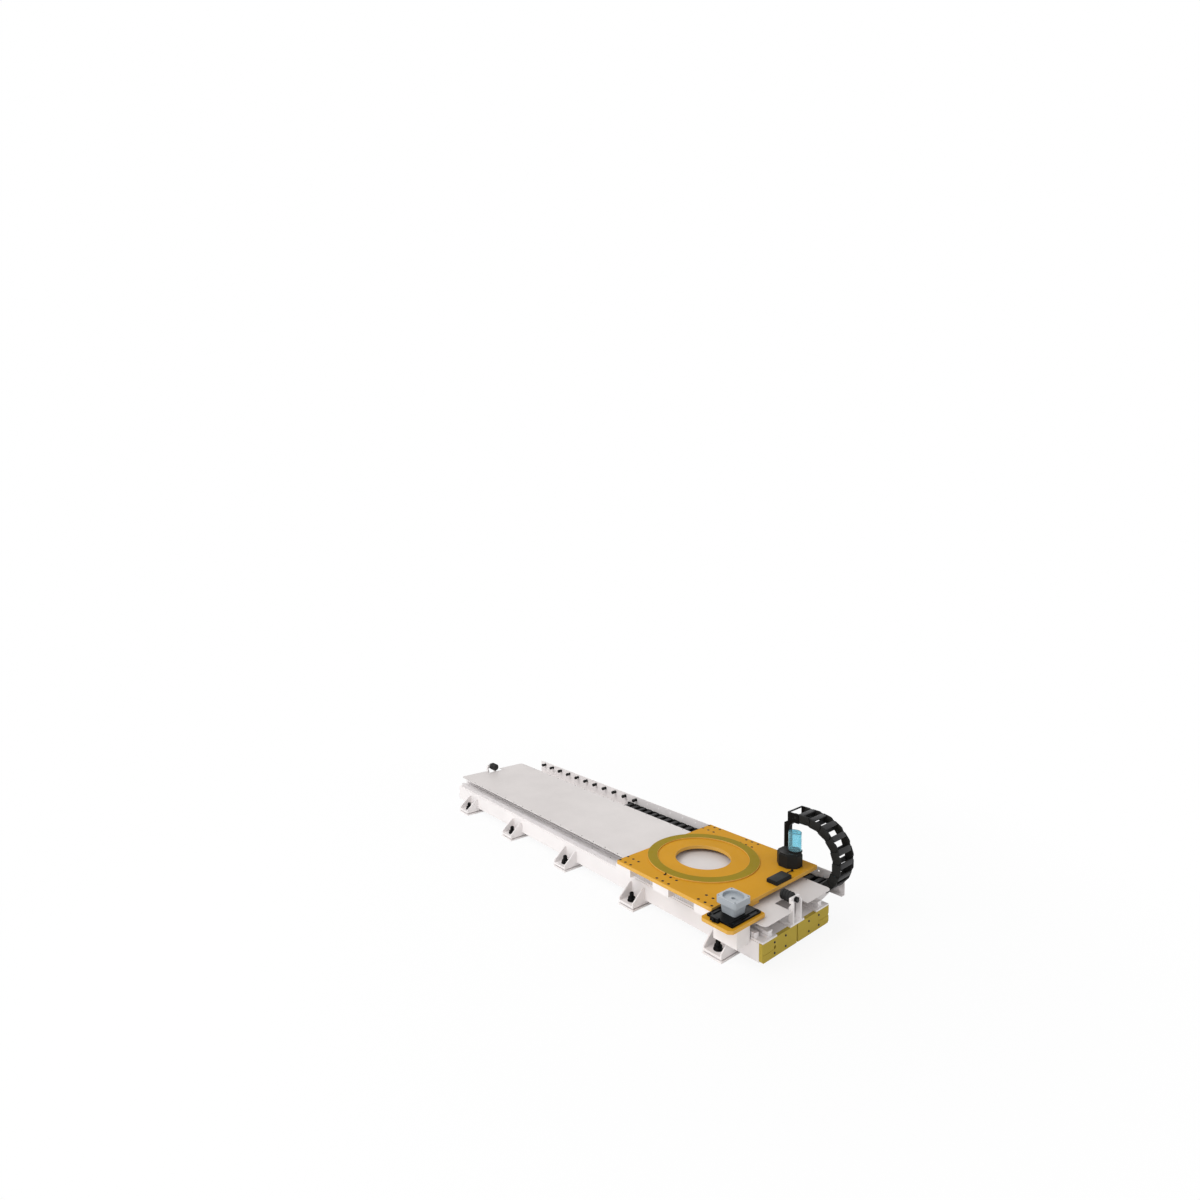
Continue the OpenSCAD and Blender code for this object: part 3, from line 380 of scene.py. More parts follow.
# one entry for each finish: its group, the group's inputs, plain shader sockets and the bump
finishes = {
    "white_paint": {
        "group": "paint",
        "values": {
            "Colour": fromScreen(240, 235, 234),
            "Rub Colour": fromScreen(185, 182, 180),
            "Drift": 0.04,
        },
        "plain": {"Specular IOR Level": 0.2},
        "bump": 0.02,
    },
    "cover_paint": {
        "group": "paint",
        "values": {
            "Colour": fromScreen(213, 207, 205),
            "Rub Colour": fromScreen(150, 148, 146),
            "Drift": 0.05,
        },
        "plain": {"Specular IOR Level": 0.2},
        "bump": 0.02,
    },
    "orange_paint": {
        "group": "paint",
        "values": {
            "Colour": fromScreen(209, 151, 39),
            "Rub Colour": fromScreen(130, 92, 40),
            "Drift": 0.06,
        },
        "plain": {"Specular IOR Level": 0.012},
        "bump": 0.03,
    },
    # a paler copy of the orange paint for side faces: a painted highlight
    "orange_sides_painted_highlight": {
        "group": "paint",
        "values": {
            "Colour": fromScreen(224, 174, 86),
            "Rub Colour": fromScreen(150, 112, 60),
            "Drift": 0.05,
        },
        "plain": {"Specular IOR Level": 0.012},
        "bump": 0.03,
    },
    "olive_paint": {
        "group": "paint",
        "values": {
            "Colour": fromScreen(152, 130, 30),
            "Rub Colour": fromScreen(104, 94, 44),
            "Drift": 0.07,
        },
        "plain": {"Specular IOR Level": 0.012},
        "bump": 0.03,
    },
    # a paler copy of the olive paint for the end plates, whose end faces get little lamp light:
    # painted light
    "olive_ends_painted_light": {
        "group": "paint",
        "values": {
            "Colour": fromScreen(187, 164, 72),
            "Rub Colour": fromScreen(128, 114, 60),
            "Drift": 0.05,
        },
        "plain": {"Specular IOR Level": 0.012},
        "bump": 0.03,
    },
    "reducer_paint": {
        "group": "paint",
        "values": {
            "Colour": fromScreen(170, 176, 182),
            "Rub Colour": fromScreen(128, 132, 136),
            "Peel Scale": 160.0,
        },
        "plain": {"Specular IOR Level": 0.25},
        "bump": 0.08,
    },
    "black_steel": {
        "group": "paint",
        "values": {"Colour": fromScreen(16, 16, 17), "Rub Colour": fromScreen(70, 70, 70)},
        "plain": {"Specular IOR Level": 0.08},
        "bump": 0.04,
    },
    "ground_steel": {
        "group": "metal",
        "values": {
            "Colour": fromScreen(234, 230, 230),
            "Marks": 0.08,
            "Smooth": 0.34,
            "Rough": 0.5,
        },
        "plain": {"Metallic": 0.15, "Specular IOR Level": 0.4},
        "bump": 0.03,
    },
    "dark_steel": {
        "group": "metal",
        "values": {
            "Colour": (0.03, 0.03, 0.032, 1),
            "Marks": 0.2,
            "Smooth": 0.32,
            "Rough": 0.5,
        },
        "plain": {"Metallic": 0.4, "Specular IOR Level": 0.3},
        "bump": 0.03,
    },
    "black_plastic": {
        "group": "mould",
        "values": {"Colour": fromScreen(33, 33, 32), "Bloom Colour": fromScreen(52, 52, 51)},
        "plain": {"Specular IOR Level": 0.1},
        "bump": 0.05,
    },
    "stay_plastic": {
        "group": "mould",
        "values": {"Colour": fromScreen(56, 56, 57), "Bloom Colour": fromScreen(76, 76, 76)},
        "plain": {"Specular IOR Level": 0.12},
        "bump": 0.05,
    },
    "bumper_rubber": {
        "group": "mould",
        "values": {"Colour": fromScreen(24, 24, 24), "Bloom": 0.3, "Smooth": 0.6, "Rough": 0.8},
        "plain": {"Specular IOR Level": 0.25},
        "bump": 0.06,
    },
    "jar_plastic": {
        "group": "mould",
        "values": {
            "Colour": fromScreen(190, 240, 252),
            "Bloom Colour": fromScreen(178, 234, 248),
            "Smooth": 0.06,
            "Rough": 0.12,
        },
        "plain": {"Transmission Weight": 0.85, "IOR": 1.25},
        "bump": 0.01,
    },
}
bumpDistance = 0.5 * mm


def makeFinish(name, s):
    mat = bpy.data.materials.new(name)
    mat.use_nodes = True
    tree = mat.node_tree
    shader = tree.nodes["Principled BSDF"]
    effect = tree.nodes.new("ShaderNodeGroup")
    effect.node_tree = groups[s["group"]]
    for label, value in s["values"].items():
        effect.inputs[label].default_value = value
    for label, value in s["plain"].items():
        shader.inputs[label].default_value = value
    bump = tree.nodes.new("ShaderNodeBump")
    bump.inputs["Strength"].default_value = s["bump"]
    bump.inputs["Distance"].default_value = bumpDistance
    tree.links.new(effect.outputs["Height"], bump.inputs["Height"])
    tree.links.new(bump.outputs["Normal"], shader.inputs["Normal"])
    tree.links.new(effect.outputs["Colour"], shader.inputs["Base Color"])
    tree.links.new(effect.outputs["Roughness"], shader.inputs["Roughness"])
    return mat


finish = {name: makeFinish(name, s) for name, s in finishes.items()}
# looks that differ from the slot: end plates in a paler olive, painted light for their poorly lit
# end faces, and a clamp hub as grey as the flange round it
ownLook = {"end_plates": "olive_ends_painted_light", "input_hub": "reducer_paint"}
for name, obj in nodes.items():
    obj.data.materials.clear()
    obj.data.materials.append(finish[ownLook.get(name, nodeSlot[name])])
print("finishes made:", len(finish))


# mesh helpers
weldGap = 2e-6  # a node's points closer than this are one
samePoint = 1e-6
smoothAngle = 38  # degrees: sharper edges stay sharp in the shading


def looseBoxes(name):
    # lowest and highest corner of each separate solid in a node
    bm = bmesh.new()
    bm.from_mesh(nodes[name].data)
    bmesh.ops.remove_doubles(bm, verts=bm.verts, dist=weldGap)
    boxes = []
    seen = set()
    for start in bm.verts:
        if start in seen:
            continue
        seen.add(start)
        todo = [start]
        low = start.co.copy()
        high = start.co.copy()
        while todo:
            vert = todo.pop()
            low = Vector(map(min, low, vert.co))
            high = Vector(map(max, high, vert.co))
            for edge in vert.link_edges:
                other = edge.other_vert(vert)
                if other not in seen:
                    seen.add(other)
                    todo.append(other)
        boxes.append((low, high))
    bm.free()
    return boxes


def markSharp(bm, angle):
    for face in bm.faces:
        face.smooth = True
    for edge in bm.edges:
        edge.smooth = edge.calc_face_angle(0) < math.radians(angle)


def addPiece(name, bm, slot, body=None, replaced=(), angle=smoothAngle, look=None):
    markSharp(bm, angle)
    mesh = bpy.data.meshes.new(name)
    bm.to_mesh(mesh)
    bm.free()
    mesh.materials.append(finish[look or slot])
    obj = bpy.data.objects.new(name, mesh)
    bpy.context.scene.collection.objects.link(obj)
    if body:
        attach(obj, body)
    if replaced:
        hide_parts(*replaced)
    return obj


def standIn(name, bm, node, angle=smoothAngle, look=None):
    # a piece that takes its node's place, slot and body
    return addPiece(name, bm, nodeSlot[node], nodeBody[node], (node,), angle, look)


def sharpEdges(bm, least=0.0, angle=30):
    return [
        e for e in bm.edges
        if len(e.link_faces) == 2
        and e.calc_face_angle() > math.radians(angle)
        and e.calc_length() >= least
    ]


def roundEdges(bm, edges, width):
    bmesh.ops.bevel(
        bm, geom=edges, offset=width, offset_type="OFFSET", segments=2,
        profile=0.5, affect="EDGES", clamp_overlap=False, material=-1,
    )


def stamp(bm, template, matrix):
    # puts a copy of a small mesh into a bigger one
    first = len(bm.verts)
    bm.from_mesh(template)
    bm.verts.ensure_lookup_table()
    bmesh.ops.transform(bm, matrix=matrix, verts=bm.verts[first:])


def keepMesh(name, bm):
    bmesh.ops.remove_doubles(bm, verts=bm.verts, dist=samePoint)
    bmesh.ops.recalc_face_normals(bm, faces=bm.faces)
    mesh = bpy.data.meshes.new(name)
    bm.to_mesh(mesh)
    bm.free()
    return mesh


def spun(name, profile, steps):
    # turns a profile of (radius, height) points round the Z axis
    bm = bmesh.new()
    points = [bm.verts.new((r, 0, z)) for r, z in profile]
    lines = [bm.edges.new(pair) for pair in zip(points, points[1:])]
    bmesh.ops.spin(
        bm, geom=points + lines, cent=(0, 0, 0), axis=(0, 0, 1),
        angle=2 * math.pi, steps=steps, use_merge=True,
    )
    return keepMesh(name, bm)


def quarterTurn(steps):
    return [math.pi / 2 * k / steps for k in range(steps + 1)]


def standing(low, high):
    # at the middle of a box's underside
    return Matrix.Translation(((low.x + high.x) / 2, (low.y + high.y) / 2, low.z))


towards = {
    "+X": Matrix.Rotation(math.radians(90), 4, "Y"),
    "-X": Matrix.Rotation(math.radians(-90), 4, "Y"),
    "-Y": Matrix.Rotation(math.radians(90), 4, "X"),
    "+Y": Matrix.Rotation(math.radians(-90), 4, "X"),
}


# softened copies: each stands for its node with its long edges rounded, width in millimetres
softened = {
    "front_beam": 2.0, "rear_beam": 2.0, "tie_plates": 1.0, "rail_seats": 0.8,
    "end_plates": 1.2, "far_end_plates": 0.8, "foot_brackets": 1.6, "floor_pads": 1.6,
    "levelling_nuts": 1.2, "cover_plate": 0.5, "cable_tray": 0.8, "tray_brackets": 1.0,
    "bumper_brackets": 1.6, "bumper_nuts": 0.8, "carriage_plate": 1.6, "robot_ring": 1.2,
    "risers": 1.5, "bearing_blocks": 1.0, "block_end_caps": 0.8, "drive_tab": 2.0,
    "reducer_slide_plate": 1.0, "adjuster_block": 1.2, "reducer_body": 1.2, "motor_flange": 2.4,
    "pinion_guard": 1.6, "pump_body": 2.0, "distributor_box": 1.4, "chain_post": 1.2,
    "chain_end_bracket": 1.0, "chain_fixed_bracket": 1.0, "front_rail": 0.5, "rear_rail": 0.5,
}
softSet = {
    "leastEdge": 10 * mm,  # shorter edges belong to holes and arcs
    "flatWithin": 1,  # degrees: faces that differ less become one
    "topSlope": 0.95,  # faces steeper than this are sides
    "holeGrow": 2 * mm,  # from a bolt's box out to the wall of its hole
    # bolt-hole walls painted near black: painted shade in the holes
    "holeShadeLook": "black_steel",
}
# pieces whose side faces take a paler orange, a painted highlight, and whose bolt-hole walls are
# painted near black, a painted shade; the ring's sides are orange in their own right under its
# olive top, paler by painted highlight
sideHighlightLook = {
    "robot_ring": "orange_sides_painted_highlight",
    "carriage_plate": "orange_sides_painted_highlight",
    "drive_tab": "orange_sides_painted_highlight",
}
boltBoxes = looseBoxes("riser_bolts")


def paintedLightIndexOf(face, s):
    # 0 for top and underside, 1 for sides, which take the painted highlight, 2 for the walls of
    # bolt holes, which take painted shade
    if abs(face.normal.z) >= s["topSlope"]:
        return 0
    c = face.calc_center_median()
    grow = s["holeGrow"]
    inHole = any(
        low.x - grow < c.x < high.x + grow and low.y - grow < c.y < high.y + grow
        for low, high in boltBoxes
    )
    return 2 if inHole else 1


def pieceName(node):
    return "soft" + "".join(word.capitalize() for word in node.split("_"))


def softenedCopy(node, width, s):
    bm = bmesh.new()
    bm.from_mesh(nodes[node].data)
    bmesh.ops.remove_doubles(bm, verts=bm.verts, dist=weldGap)
    flat = math.radians(s["flatWithin"])
    bmesh.ops.dissolve_limit(bm, angle_limit=flat, verts=bm.verts, edges=bm.edges)
    roundEdges(bm, sharpEdges(bm, s["leastEdge"]), width)
    if node in sideHighlightLook:
        bm.normal_update()
        for face in bm.faces:
            face.material_index = paintedLightIndexOf(face, s)
    piece = standIn(pieceName(node), bm, node, look=ownLook.get(node))
    # side faces get the painted highlight, bolt-hole walls the painted shade
    if node in sideHighlightLook:
        for look in (sideHighlightLook[node], s["holeShadeLook"]):
            piece.data.materials.append(finish[look])
    even = piece.modifiers.new("evenNormals", "WEIGHTED_NORMAL")
    even.keep_sharp = True


for node, width in softened.items():
    softenedCopy(node, width * mm, softSet)
print("edges softened:", len(softened))


def socketScrew(name, s):
    # a round head with a six-sided recess, standing on z = 0, and its shank below
    r, h, soft = s["head"], s["height"], s["chamfer"]
    flat = s["key"] / 2
    floor = h - s["recess"]
    profile = [
        (0, -s["grip"]), (s["shank"], -s["grip"]), (s["shank"], 0), (r, 0), (r, h - soft),
        (r - soft, h), (flat, h), (flat, floor), (0, floor),
    ]
    mesh = spun(name, profile, steps=24)
    side = math.radians(60)
    for v in mesh.vertices:
        # the round recess is pushed out to a hexagon
        if abs(math.hypot(v.co.x, v.co.y) - flat) < samePoint and v.co.z > floor - samePoint:
            off = (math.atan2(v.co.y, v.co.x) + side / 2) % side - side / 2
            v.co.x /= math.cos(off)
            v.co.y /= math.cos(off)
    return mesh


# screws, one recipe for each node that is a row of them: the key is a share of the head's radius,
# the recess of its height, the head of the screw's height, and the chamfer is in millimetres
screwSets = {
    "railScrews": {"node": "rail_bolts", "key": 0.9, "recess": 0.6, "chamfer": 0.8, "head": 1},
    "rackScrews": {"node": "rack_bolts", "key": 0.9, "recess": 0.35, "chamfer": 0.6, "head": 1},
    "riserScrews": {
        "node": "riser_bolts", "key": 0.9, "recess": 0.6, "chamfer": 0.8, "head": 9 / 42,
    },
    "slideScrews": {
        "node": "slide_plate_screws", "key": 0.85, "recess": 0.6, "chamfer": 0.7, "head": 5 / 13,
    },
    "blockScrews": {"node": "block_bolts", "key": 0.9, "recess": 0.5, "chamfer": 0.8, "head": 1},
}
shankShare = 0.62
leastGrip = 0.1 * mm


def makeScrews(name, s):
    boxes = looseBoxes(s["node"])
    low, high = boxes[0]
    r = (high.x - low.x) / 2
    whole = high.z - low.z
    head = whole * s["head"]
    template = socketScrew(name + "One", {
        "head": r, "height": head, "chamfer": s["chamfer"] * mm, "key": r * s["key"],
        "recess": head * s["recess"], "shank": r * shankShare,
        "grip": max(whole - head, leastGrip),
    })
    bm = bmesh.new()
    for low, high in boxes:
        middle = (low + high) / 2
        stamp(bm, template, Matrix.Translation((middle.x, middle.y, high.z - head)))
    standIn(name, bm, s["node"])


for name, s in screwSets.items():
    makeScrews(name, s)

# shank and key are shares of the head's radius
endScrewSet = {
    "head": 3.0 * mm, "shank": 0.5, "key": 0.9, "recess": 2.0 * mm, "chamfer": 0.9 * mm,
}


def makeEndScrews(s):
    bm = bmesh.new()
    templates = {}
    for low, high in looseBoxes("end_plate_screws"):
        middle = (low + high) / 2
        right = middle.x > 0
        r = (high.y - low.y) / 2
        if right not in templates:
            templates[right] = socketScrew("endScrew", {
                "head": r, "height": s["head"], "chamfer": s["chamfer"], "key": r * s["key"],
                "recess": s["recess"], "shank": r * s["shank"],
                "grip": high.x - low.x - s["head"],
            })
        x = high.x - s["head"] if right else low.x + s["head"]
        turn = towards["+X"] if right else towards["-X"]
        stamp(bm, templates[right], Matrix.Translation((x, middle.y, middle.z)) @ turn)
    standIn("endScrews", bm, "end_plate_screws")


makeEndScrews(endScrewSet)

rivetSet = {"rise": 1.0 * mm, "rings": 4, "sides": 16}


def makeRivets(s):
    boxes = looseBoxes("cover_rivets")
    low, high = boxes[0]
    r = (high.x - low.x) / 2
    h = high.z - low.z
    rise = s["rise"]
    dome = [
        (r * math.cos(a), h - rise + rise * math.sin(a)) for a in quarterTurn(s["rings"])[:-1]
    ]
    template = spun("rivet", [(0, 0), (r, 0)] + dome + [(0, h)], s["sides"])
    bm = bmesh.new()
    for low, high in boxes:
        stamp(bm, template, standing(low, high))
    standIn("coverRivets", bm, "cover_rivets")


makeRivets(rivetSet)
print("screws and rivets made")

levelSet = {
    "pitch": 3.0 * mm, "depth": 1.2 * mm, "crest": (0.35, 0.65), "key": 17 * mm,
    "recess": 8 * mm, "chamfer": 1.6 * mm, "chamferLean": 1.6, "sides": 24, "angle": 60,
}


def makeLevellingBolts(s):
    boxes = looseBoxes("levelling_bolts")
    low, high = boxes[0]
    r = (high.x - low.x) / 2
    h = high.z - low.z
    root = r - s["depth"]
    profile = [(0, 0), (root, 0)]
    turns = int((h - 2 * s["chamfer"]) / s["pitch"])
    for k in range(turns):
        z = s["chamfer"] + k * s["pitch"]
        profile += [(root, z)] + [(r, z + share * s["pitch"]) for share in s["crest"]]
    key = s["key"] / 2
    profile += [(root, h - s["chamfer"]), (r - s["chamferLean"] * s["chamfer"], h)]
    profile += [(key, h), (key, h - s["recess"]), (0, h - s["recess"])]
    template = spun("levellingBolt", profile, s["sides"])
    bm = bmesh.new()
    for low, high in boxes:
        stamp(bm, template, standing(low, high))
    standIn("threadedFeet", bm, "levelling_bolts", s["angle"])


makeLevellingBolts(levelSet)

pegSet = {
    "head": 18 * mm, "neck": 3.0 * mm, "foot": 4 * mm, "soft": 2.2 * mm, "chamfer": 1 * mm,
    "rings": 4, "sides": 28,
}


def makePegs(s):
    boxes = looseBoxes("chain_rest_pegs")
    low, high = boxes[0]
    r = (high.x - low.x) / 2
    h = high.y - low.y
    soft, cut, foot, neck = s["soft"], s["chamfer"], s["foot"], r - s["neck"]
    shoulder = h - s["head"]
    nose = [
        (r - soft + soft * math.cos(a), h - soft + soft * math.sin(a))
        for a in quarterTurn(s["rings"])
    ]
    profile = [
        (0, 0), (r, 0), (r, foot - cut), (r - cut, foot), (neck, foot),
        (neck, shoulder), (r - cut, shoulder), (r, shoulder + cut),
    ]
    template = spun("trayPeg", profile + nose + [(0, h)], s["sides"])
    bm = bmesh.new()
    for low, high in boxes:
        middle = (low + high) / 2
        stamp(bm, template, Matrix.Translation((middle.x, high.y, middle.z)) @ towards["-Y"])
    standIn("trayPegs", bm, "chain_rest_pegs")


makePegs(pegSet)

bumperSet = {
    "ribs": 4, "groove": 4.5 * mm, "points": 8, "stud": 6 * mm, "studLength": 24 * mm,
    "dish": 10 * mm, "dishDepth": 2 * mm, "sides": 40, "angle": 50,
}


def makeBumpers(s):
    bm = bmesh.new()
    for low, high in looseBoxes("bumpers"):
        middle = (low + high) / 2
        r = (high.z - low.z) / 2
        length = high.x - low.x - s["studLength"]
        step = length / s["ribs"]
        profile = [(0, -s["studLength"]), (s["stud"], -s["studLength"]), (s["stud"], 0)]
        for k in range(s["ribs"]):
            for j in range(s["points"] + 1):
                share = j / s["points"]
                ring = r - s["groove"] * (1 - math.sin(math.pi * share))
                profile.append((ring, (k + share) * step))
        dish, deep = s["dish"], s["dishDepth"]
        profile += [(dish, length), (dish - deep, length - deep), (0, length - deep)]
        template = spun("bumperOne", profile, s["sides"])
        right = middle.x > 0
        x = high.x - s["studLength"] if right else low.x + s["studLength"]
        turn = towards["-X"] if right else towards["+X"]
        stamp(bm, template, Matrix.Translation((x, middle.y, middle.z)) @ turn)
    standIn("ribbedBumpers", bm, "bumpers", s["angle"])


makeBumpers(bumperSet)
print("feet, pegs and bumpers made")

# reservoir: a clear jar on a collar, with a lid that has a boss under it
jarSet = {
    "wall": 2.5 * mm, "lip": 1.2 * mm, "boss": 13 * mm, "bossDepth": 9 * mm,
    "collar": 4 * mm, "collarHeight": 7 * mm, "collarGap": 0.3 * mm, "sides": 48,
}


def makeJar(s):
    low, high = (Vector(c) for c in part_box("grease_reservoir"))
    capLow, capHigh = (Vector(c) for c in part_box("reservoir_cap"))
    middle = (low + high) / 2
    r = (high.x - low.x) / 2
    h = high.z - low.z
    t = capHigh.z - capLow.z
    inner = r - s["wall"]
    lip = s["lip"]
    boss, deep = s["boss"], -s["bossDepth"]
    bore, rim, top = r + s["collarGap"], r + s["collar"], s["collarHeight"]

    def turned(name, profile, z):
        bm = bmesh.new()
        mesh = spun(name, profile, s["sides"])
        stamp(bm, mesh, Matrix.Translation((middle.x, middle.y, z)))
        return bm

    jar = [(inner, 0), (r, 0), (r, h - lip), (r - lip, h), (inner, h), (inner, 0)]
    standIn("clearJar", turned("jarWall", jar, low.z), "grease_reservoir")
    lid = [(0, deep), (boss, deep), (boss, 0), (r, 0), (r, t - lip), (r - lip, t), (0, t)]
    standIn("clearLid", turned("jarLid", lid, capLow.z), "reservoir_cap")
    ring = [(bore, 0), (rim, 0), (rim, top - lip), (rim - lip, top), (bore, top), (bore, 0)]
    addPiece("jarCollar", turned("jarCollarOne", ring, low.z), "black_plastic", "carriage")


makeJar(jarSet)

pipeSet = {"nut": 6 * mm, "nutLength": 9 * mm, "soft": 0.7 * mm}


def makePipeNuts(s):
    # a union nut where the grease pipe meets the box and the pump
    low, high = (Vector(c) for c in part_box("grease_pipe"))
    middle = (low + high) / 2
    nut, length = s["nut"], s["nutLength"]
    bm = bmesh.new()
    bmesh.ops.create_cone(
        bm, cap_ends=True, segments=6, radius1=nut, radius2=nut, depth=length)
    roundEdges(bm, sharpEdges(bm), s["soft"])
    template = keepMesh("pipeNut", bm)
    bm = bmesh.new()
    for y in (low.y + length / 2, high.y - length / 2):
        stamp(bm, template, Matrix.Translation((middle.x, y, middle.z)) @ towards["+Y"])
    addPiece("pipeNuts", bm, "black_steel", "carriage")


makePipeNuts(pipeSet)
print("lubricator dressed")

# drag chain: one link, from its pin hole at x = 0 to its pin one pitch along
chainSet = {
    "plate": 5.0 * mm, "gap": 0.3 * mm, "lap": 24 * mm, "arc": 12, "soft": 1.2 * mm,
    "pin": 7.0 * mm, "pinProud": 0.4 * mm, "pinSoft": 0.6 * mm, "pinSides": 20,
    "dimple": 3.2 * mm, "dimpleDepth": 1.2 * mm, "dimpleLean": 0.8 * mm,
    "stay": 0.46, "stayHeight": 6.0 * mm,  # the stay's length is a share of the pitch
}
staticCount = 9
liftCount = 15
bendCount = 9
staticBox = [Vector(c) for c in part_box("chain_static_plates")]
liftBox = [Vector(c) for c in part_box("chain_lifting_plates")]
upperBox = [Vector(c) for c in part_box("chain_upper_plates")]
linkHeight = staticBox[1].z - staticBox[0].z
linkWidth = staticBox[1].y - staticBox[0].y
linkPitch = (staticBox[1].x - staticBox[0].x - linkHeight) / staticCount
upperCount = round((upperBox[1].x - upperBox[0].x - linkHeight) / linkPitch)
lowX = staticBox[0].x + linkHeight / 2
lowZ = (staticBox[0].z + staticBox[1].z) / 2
highZ = (upperBox[0].z + upperBox[1].z) / 2
chainY = staticBox[0].y
bendX = liftBox[1].x - linkHeight / 2
bendZ = (lowZ + highZ) / 2
bendRadius = (highZ - lowZ) / 2
bendStep = math.radians(180 / bendCount)


def sidePlate(bm, s, centre, far, y):
    # a plate that is round about its pin and square at its other end
    r = linkHeight / 2
    start = bm.verts.new((centre, y, -r))
    turn = math.pi if far > centre else -math.pi
    bmesh.ops.spin(
        bm, geom=[start], cent=(centre, y, 0), axis=(0, 1, 0), angle=turn, steps=s["arc"])
    arc = [v for v in bm.verts if not v.link_faces]
    arc.sort(key=lambda v: v.co.z)
    corners = [bm.verts.new((far, y, r)), bm.verts.new((far, y, -r))]
    face = bm.faces.new(arc + corners)
    made = bmesh.ops.extrude_face_region(bm, geom=[face])
    moved = [g for g in made["geom"] if isinstance(g, bmesh.types.BMVert)]
    bmesh.ops.translate(bm, verts=moved, vec=(0, s["plate"], 0))


def makeLinkPlates(s):
    bm = bmesh.new()
    sidePlate(bm, s, 0, linkPitch - s["lap"], 0)
    sidePlate(bm, s, linkPitch, s["lap"], s["plate"] + s["gap"])
    bmesh.ops.recalc_face_normals(bm, faces=bm.faces)
    roundEdges(bm, sharpEdges(bm), s["soft"])
    one = keepMesh("linkSide", bm)
    both = bmesh.new()
    stamp(both, one, Matrix())
    mirror = Matrix.Scale(-1, 4, (0, 1, 0))
    stamp(both, one, Matrix.Translation((0, linkWidth, 0)) @ mirror)
    return keepMesh("linkPlates", both)


def makeLinkPins(s):
    # the pin's end shows in the plate that turns on it, with a moulding dimple
    reach = s["plate"] + s["gap"]
    r, soft, dimple = s["pin"], s["pinSoft"], s["dimple"]
    end = reach + s["pinProud"]
    deep = reach - s["dimpleDepth"]
    profile = [
        (0, 0), (r, 0), (r, end - soft), (r - soft, end), (dimple, end),
        (dimple - s["dimpleLean"], deep), (0, deep),
    ]
    one = spun("linkPin", profile, s["pinSides"])
    both = bmesh.new()
    stamp(both, one, Matrix.Translation((linkPitch, reach, 0)) @ towards["-Y"])
    stamp(both, one, Matrix.Translation((linkPitch, linkWidth - reach, 0)) @ towards["+Y"])
    return keepMesh("linkPins", both)


def makeLinkStays(s):
    bm = bmesh.new()
    long = linkWidth - 2 * (2 * s["plate"] + s["gap"])
    size = Matrix.Diagonal((linkPitch * s["stay"], long, s["stayHeight"], 1))
    for side in (-1, 1):
        middle = (linkPitch / 2, linkWidth / 2, side * (linkHeight - s["stayHeight"]) / 2)
        bmesh.ops.create_cube(bm, size=1, matrix=Matrix.Translation(middle) @ size)
    roundEdges(bm, sharpEdges(bm), s["soft"])
    return keepMesh("linkStays", bm)


linkPins = makeLinkPins(chainSet)
linkKinds = (  # kind, one link of it, slot
    ("plates", makeLinkPlates(chainSet), "black_plastic"),
    ("stays", makeLinkStays(chainSet), "stay_plastic"),
)


def lowLink(i):
    return Matrix.Translation((lowX + i * linkPitch, chainY, lowZ))


def bendLink(i):
    a = -math.pi / 2 + i * bendStep
    spot = (bendX + bendRadius * math.cos(a), chainY, bendZ + bendRadius * math.sin(a))
    return Matrix.Translation(spot) @ Matrix.Rotation(-(i + 0.5) * bendStep, 4, "Y")


def highLink(i):
    spot = (bendX - i * linkPitch, chainY, highZ)
    return Matrix.Translation(spot) @ Matrix.Rotation(-math.pi, 4, "Y")


chainRuns = {
    "static": [lowLink(k) for k in range(staticCount)],
    "lifting": [lowLink(staticCount + k) for k in range(liftCount)],
    "bend": [bendLink(k) for k in range(bendCount)],
    "upper": [highLink(k) for k in range(upperCount)],
}


def makeRun(run, spots):
    for kind, template, slot in linkKinds:
        node = "chain_" + run + "_" + kind
        bm = bmesh.new()
        for k, spot in enumerate(spots):
            stamp(bm, template, spot)
            # the bend's last pin is the upper run's first
            pinned = run != "bend" or k < len(spots) - 1
            if kind == "plates" and pinned:
                stamp(bm, linkPins, spot)
        piece = addPiece(run + "Chain" + kind.capitalize(), bm, slot, nodeBody[node], (node,))
        if run == "lifting":
            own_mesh(piece)


for run, spots in chainRuns.items():
    makeRun(run, spots)
print("chain made, pitch", round(linkPitch / mm, 2), "mm")

# links that join the upper run as the carriage leaves the bend: at rest they lie pressed together
# inside the first upper link
unrollSet = {
    "links": 14, "slab": 11 * mm, "back": 35.5 * mm, "shrink": 0.993, "nextShrink": 0.988,
}


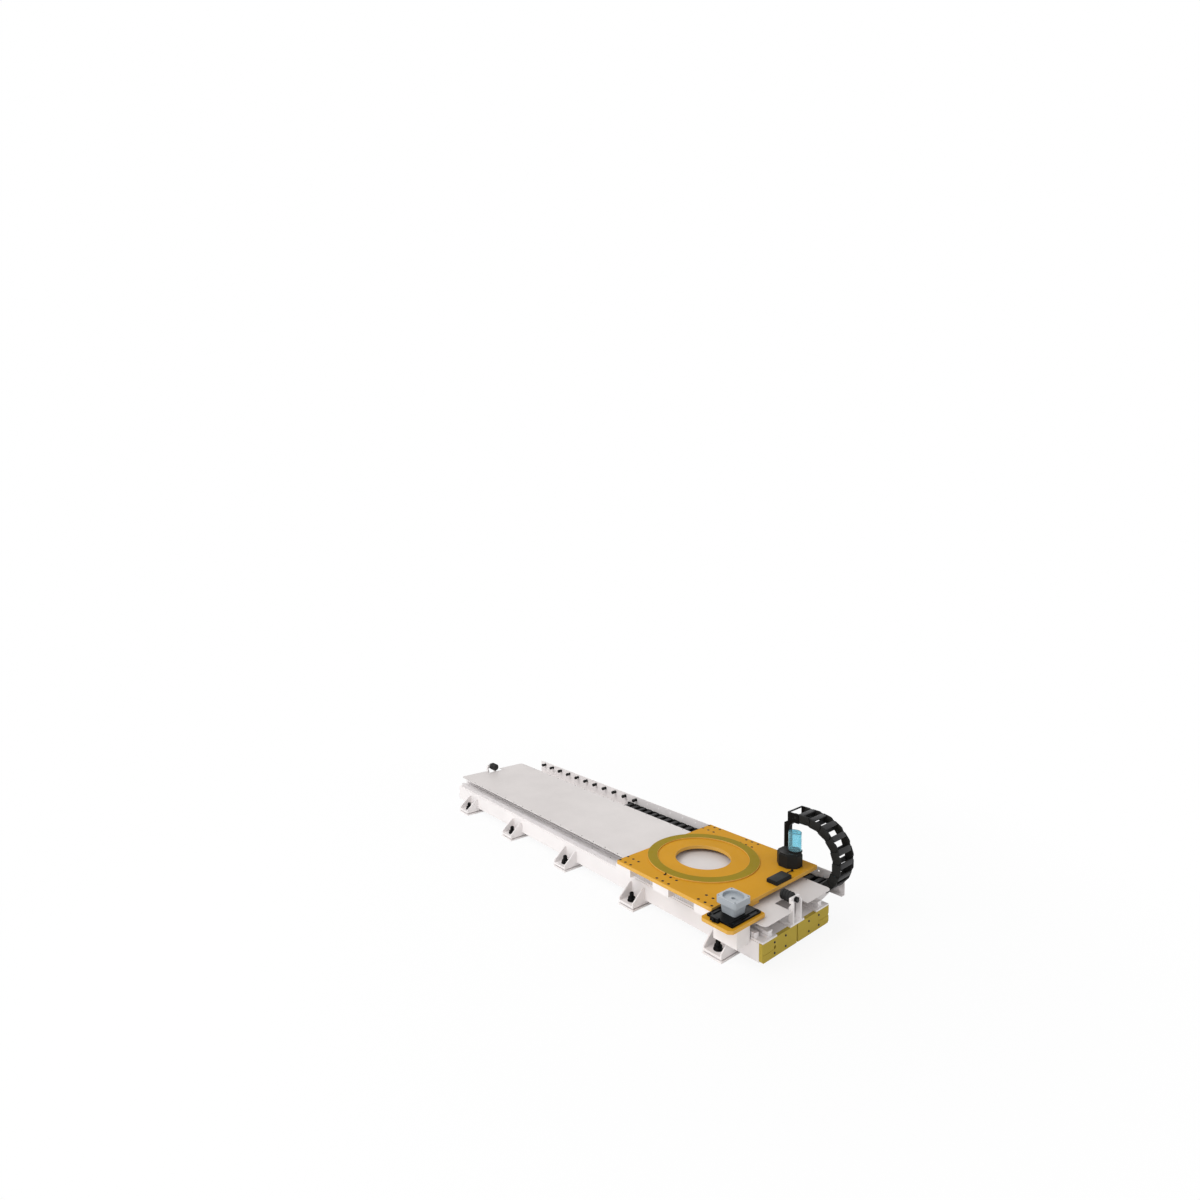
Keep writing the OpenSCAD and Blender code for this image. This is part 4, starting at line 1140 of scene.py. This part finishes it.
def makeUnrolling(s):
    whole = s["links"] * linkPitch + linkHeight
    start = bendX - s["back"]
    shrink = Matrix.Diagonal((1, s["shrink"], s["shrink"], 1))
    centre = Matrix.Translation((0, -linkWidth / 2, 0))
    for kind, template, slot in linkKinds:
        bm = bmesh.new()
        for k in range(s["links"]):
            along = Matrix.Translation((linkHeight / 2 + k * linkPitch, 0, 0))
            stamp(bm, template, along @ shrink @ centre)
        for v in bm.verts:
            u = min(max(v.co.x / whole, 0), 1)
            rest = 0.5 - math.sin(math.asin(1 - 2 * u) / 3)  # where a smoothstep curve, 3t² - 2t³, reaches u
            v.co = (start + s["slab"] * rest, chainY + linkWidth / 2 + v.co.y, highZ + v.co.z)
        piece = addPiece("unrolling" + kind.capitalize(), bm, slot)
        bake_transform(piece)


def makeFollowing(s):
    # the bend's own next link, which at rest lies inside the first upper link
    middle = Vector((linkPitch / 2, linkWidth / 2, 0))
    shrink = Matrix.Diagonal((s["nextShrink"], s["nextShrink"], s["nextShrink"], 1))
    spot = highLink(0) @ Matrix.Translation(middle) @ shrink @ Matrix.Translation(-middle)
    for kind, template, slot in linkKinds:
        bm = bmesh.new()
        stamp(bm, template, spot)
        addPiece("following" + kind.capitalize(), bm, slot, "chain_bend")


makeUnrolling(unrollSet)
makeFollowing(unrollSet)
print("unrolling links made")

# weld beads along the gussets of the feet, laid in short ripples
beadSet = {
    "radius": 2.4 * mm, "ripple": 0.35 * mm, "pitch": 4.0 * mm, "steps": 8,
    "endShare": 0.7, "valley": 0.05, "crest": 0.55, "crestShare": 0.3,
    "gusset": 8.0 * mm, "rise": 60 * mm, "reach": 70 * mm, "lift": 3 * mm, "inside": 1 * mm,
}


def beadTemplate(name, s, length):
    count = int(length / s["pitch"])
    step = length / count
    r, ripple = s["radius"], s["ripple"]
    end = r * s["endShare"]
    profile = [(0, 0), (end, 0)]
    for k in range(count):
        profile.append((r - ripple, (k + s["valley"]) * step))
        profile.append((r + ripple * s["crestShare"], (k + s["crest"]) * step))
    profile += [(end, length), (0, length)]
    return spun(name, profile, s["steps"])


def makeBeads(s):
    upright = beadTemplate("beadUp", s, s["rise"])
    flat = beadTemplate("beadFlat", s, s["reach"])
    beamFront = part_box("front_beam")[0][1]
    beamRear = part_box("rear_beam")[1][1]
    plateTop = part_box("levelling_nuts")[0][2]
    bm = bmesh.new()
    for low, high in looseBoxes("foot_brackets"):
        front = (low.y + high.y) / 2 < (beamFront + beamRear) / 2
        wall = beamFront if front else beamRear
        out = towards["-Y"] if front else towards["+Y"]
        for x in (low.x, low.x + s["gusset"], high.x - s["gusset"], high.x):
            stamp(bm, upright, Matrix.Translation((x, wall, plateTop + s["lift"])))
            if low.x + s["inside"] < x < high.x - s["inside"]:
                stamp(bm, flat, Matrix.Translation((x, wall, plateTop)) @ out)
    addPiece("weldBeads", bm, "white_paint", "base")


makeBeads(beadSet)
print("weld beads made")
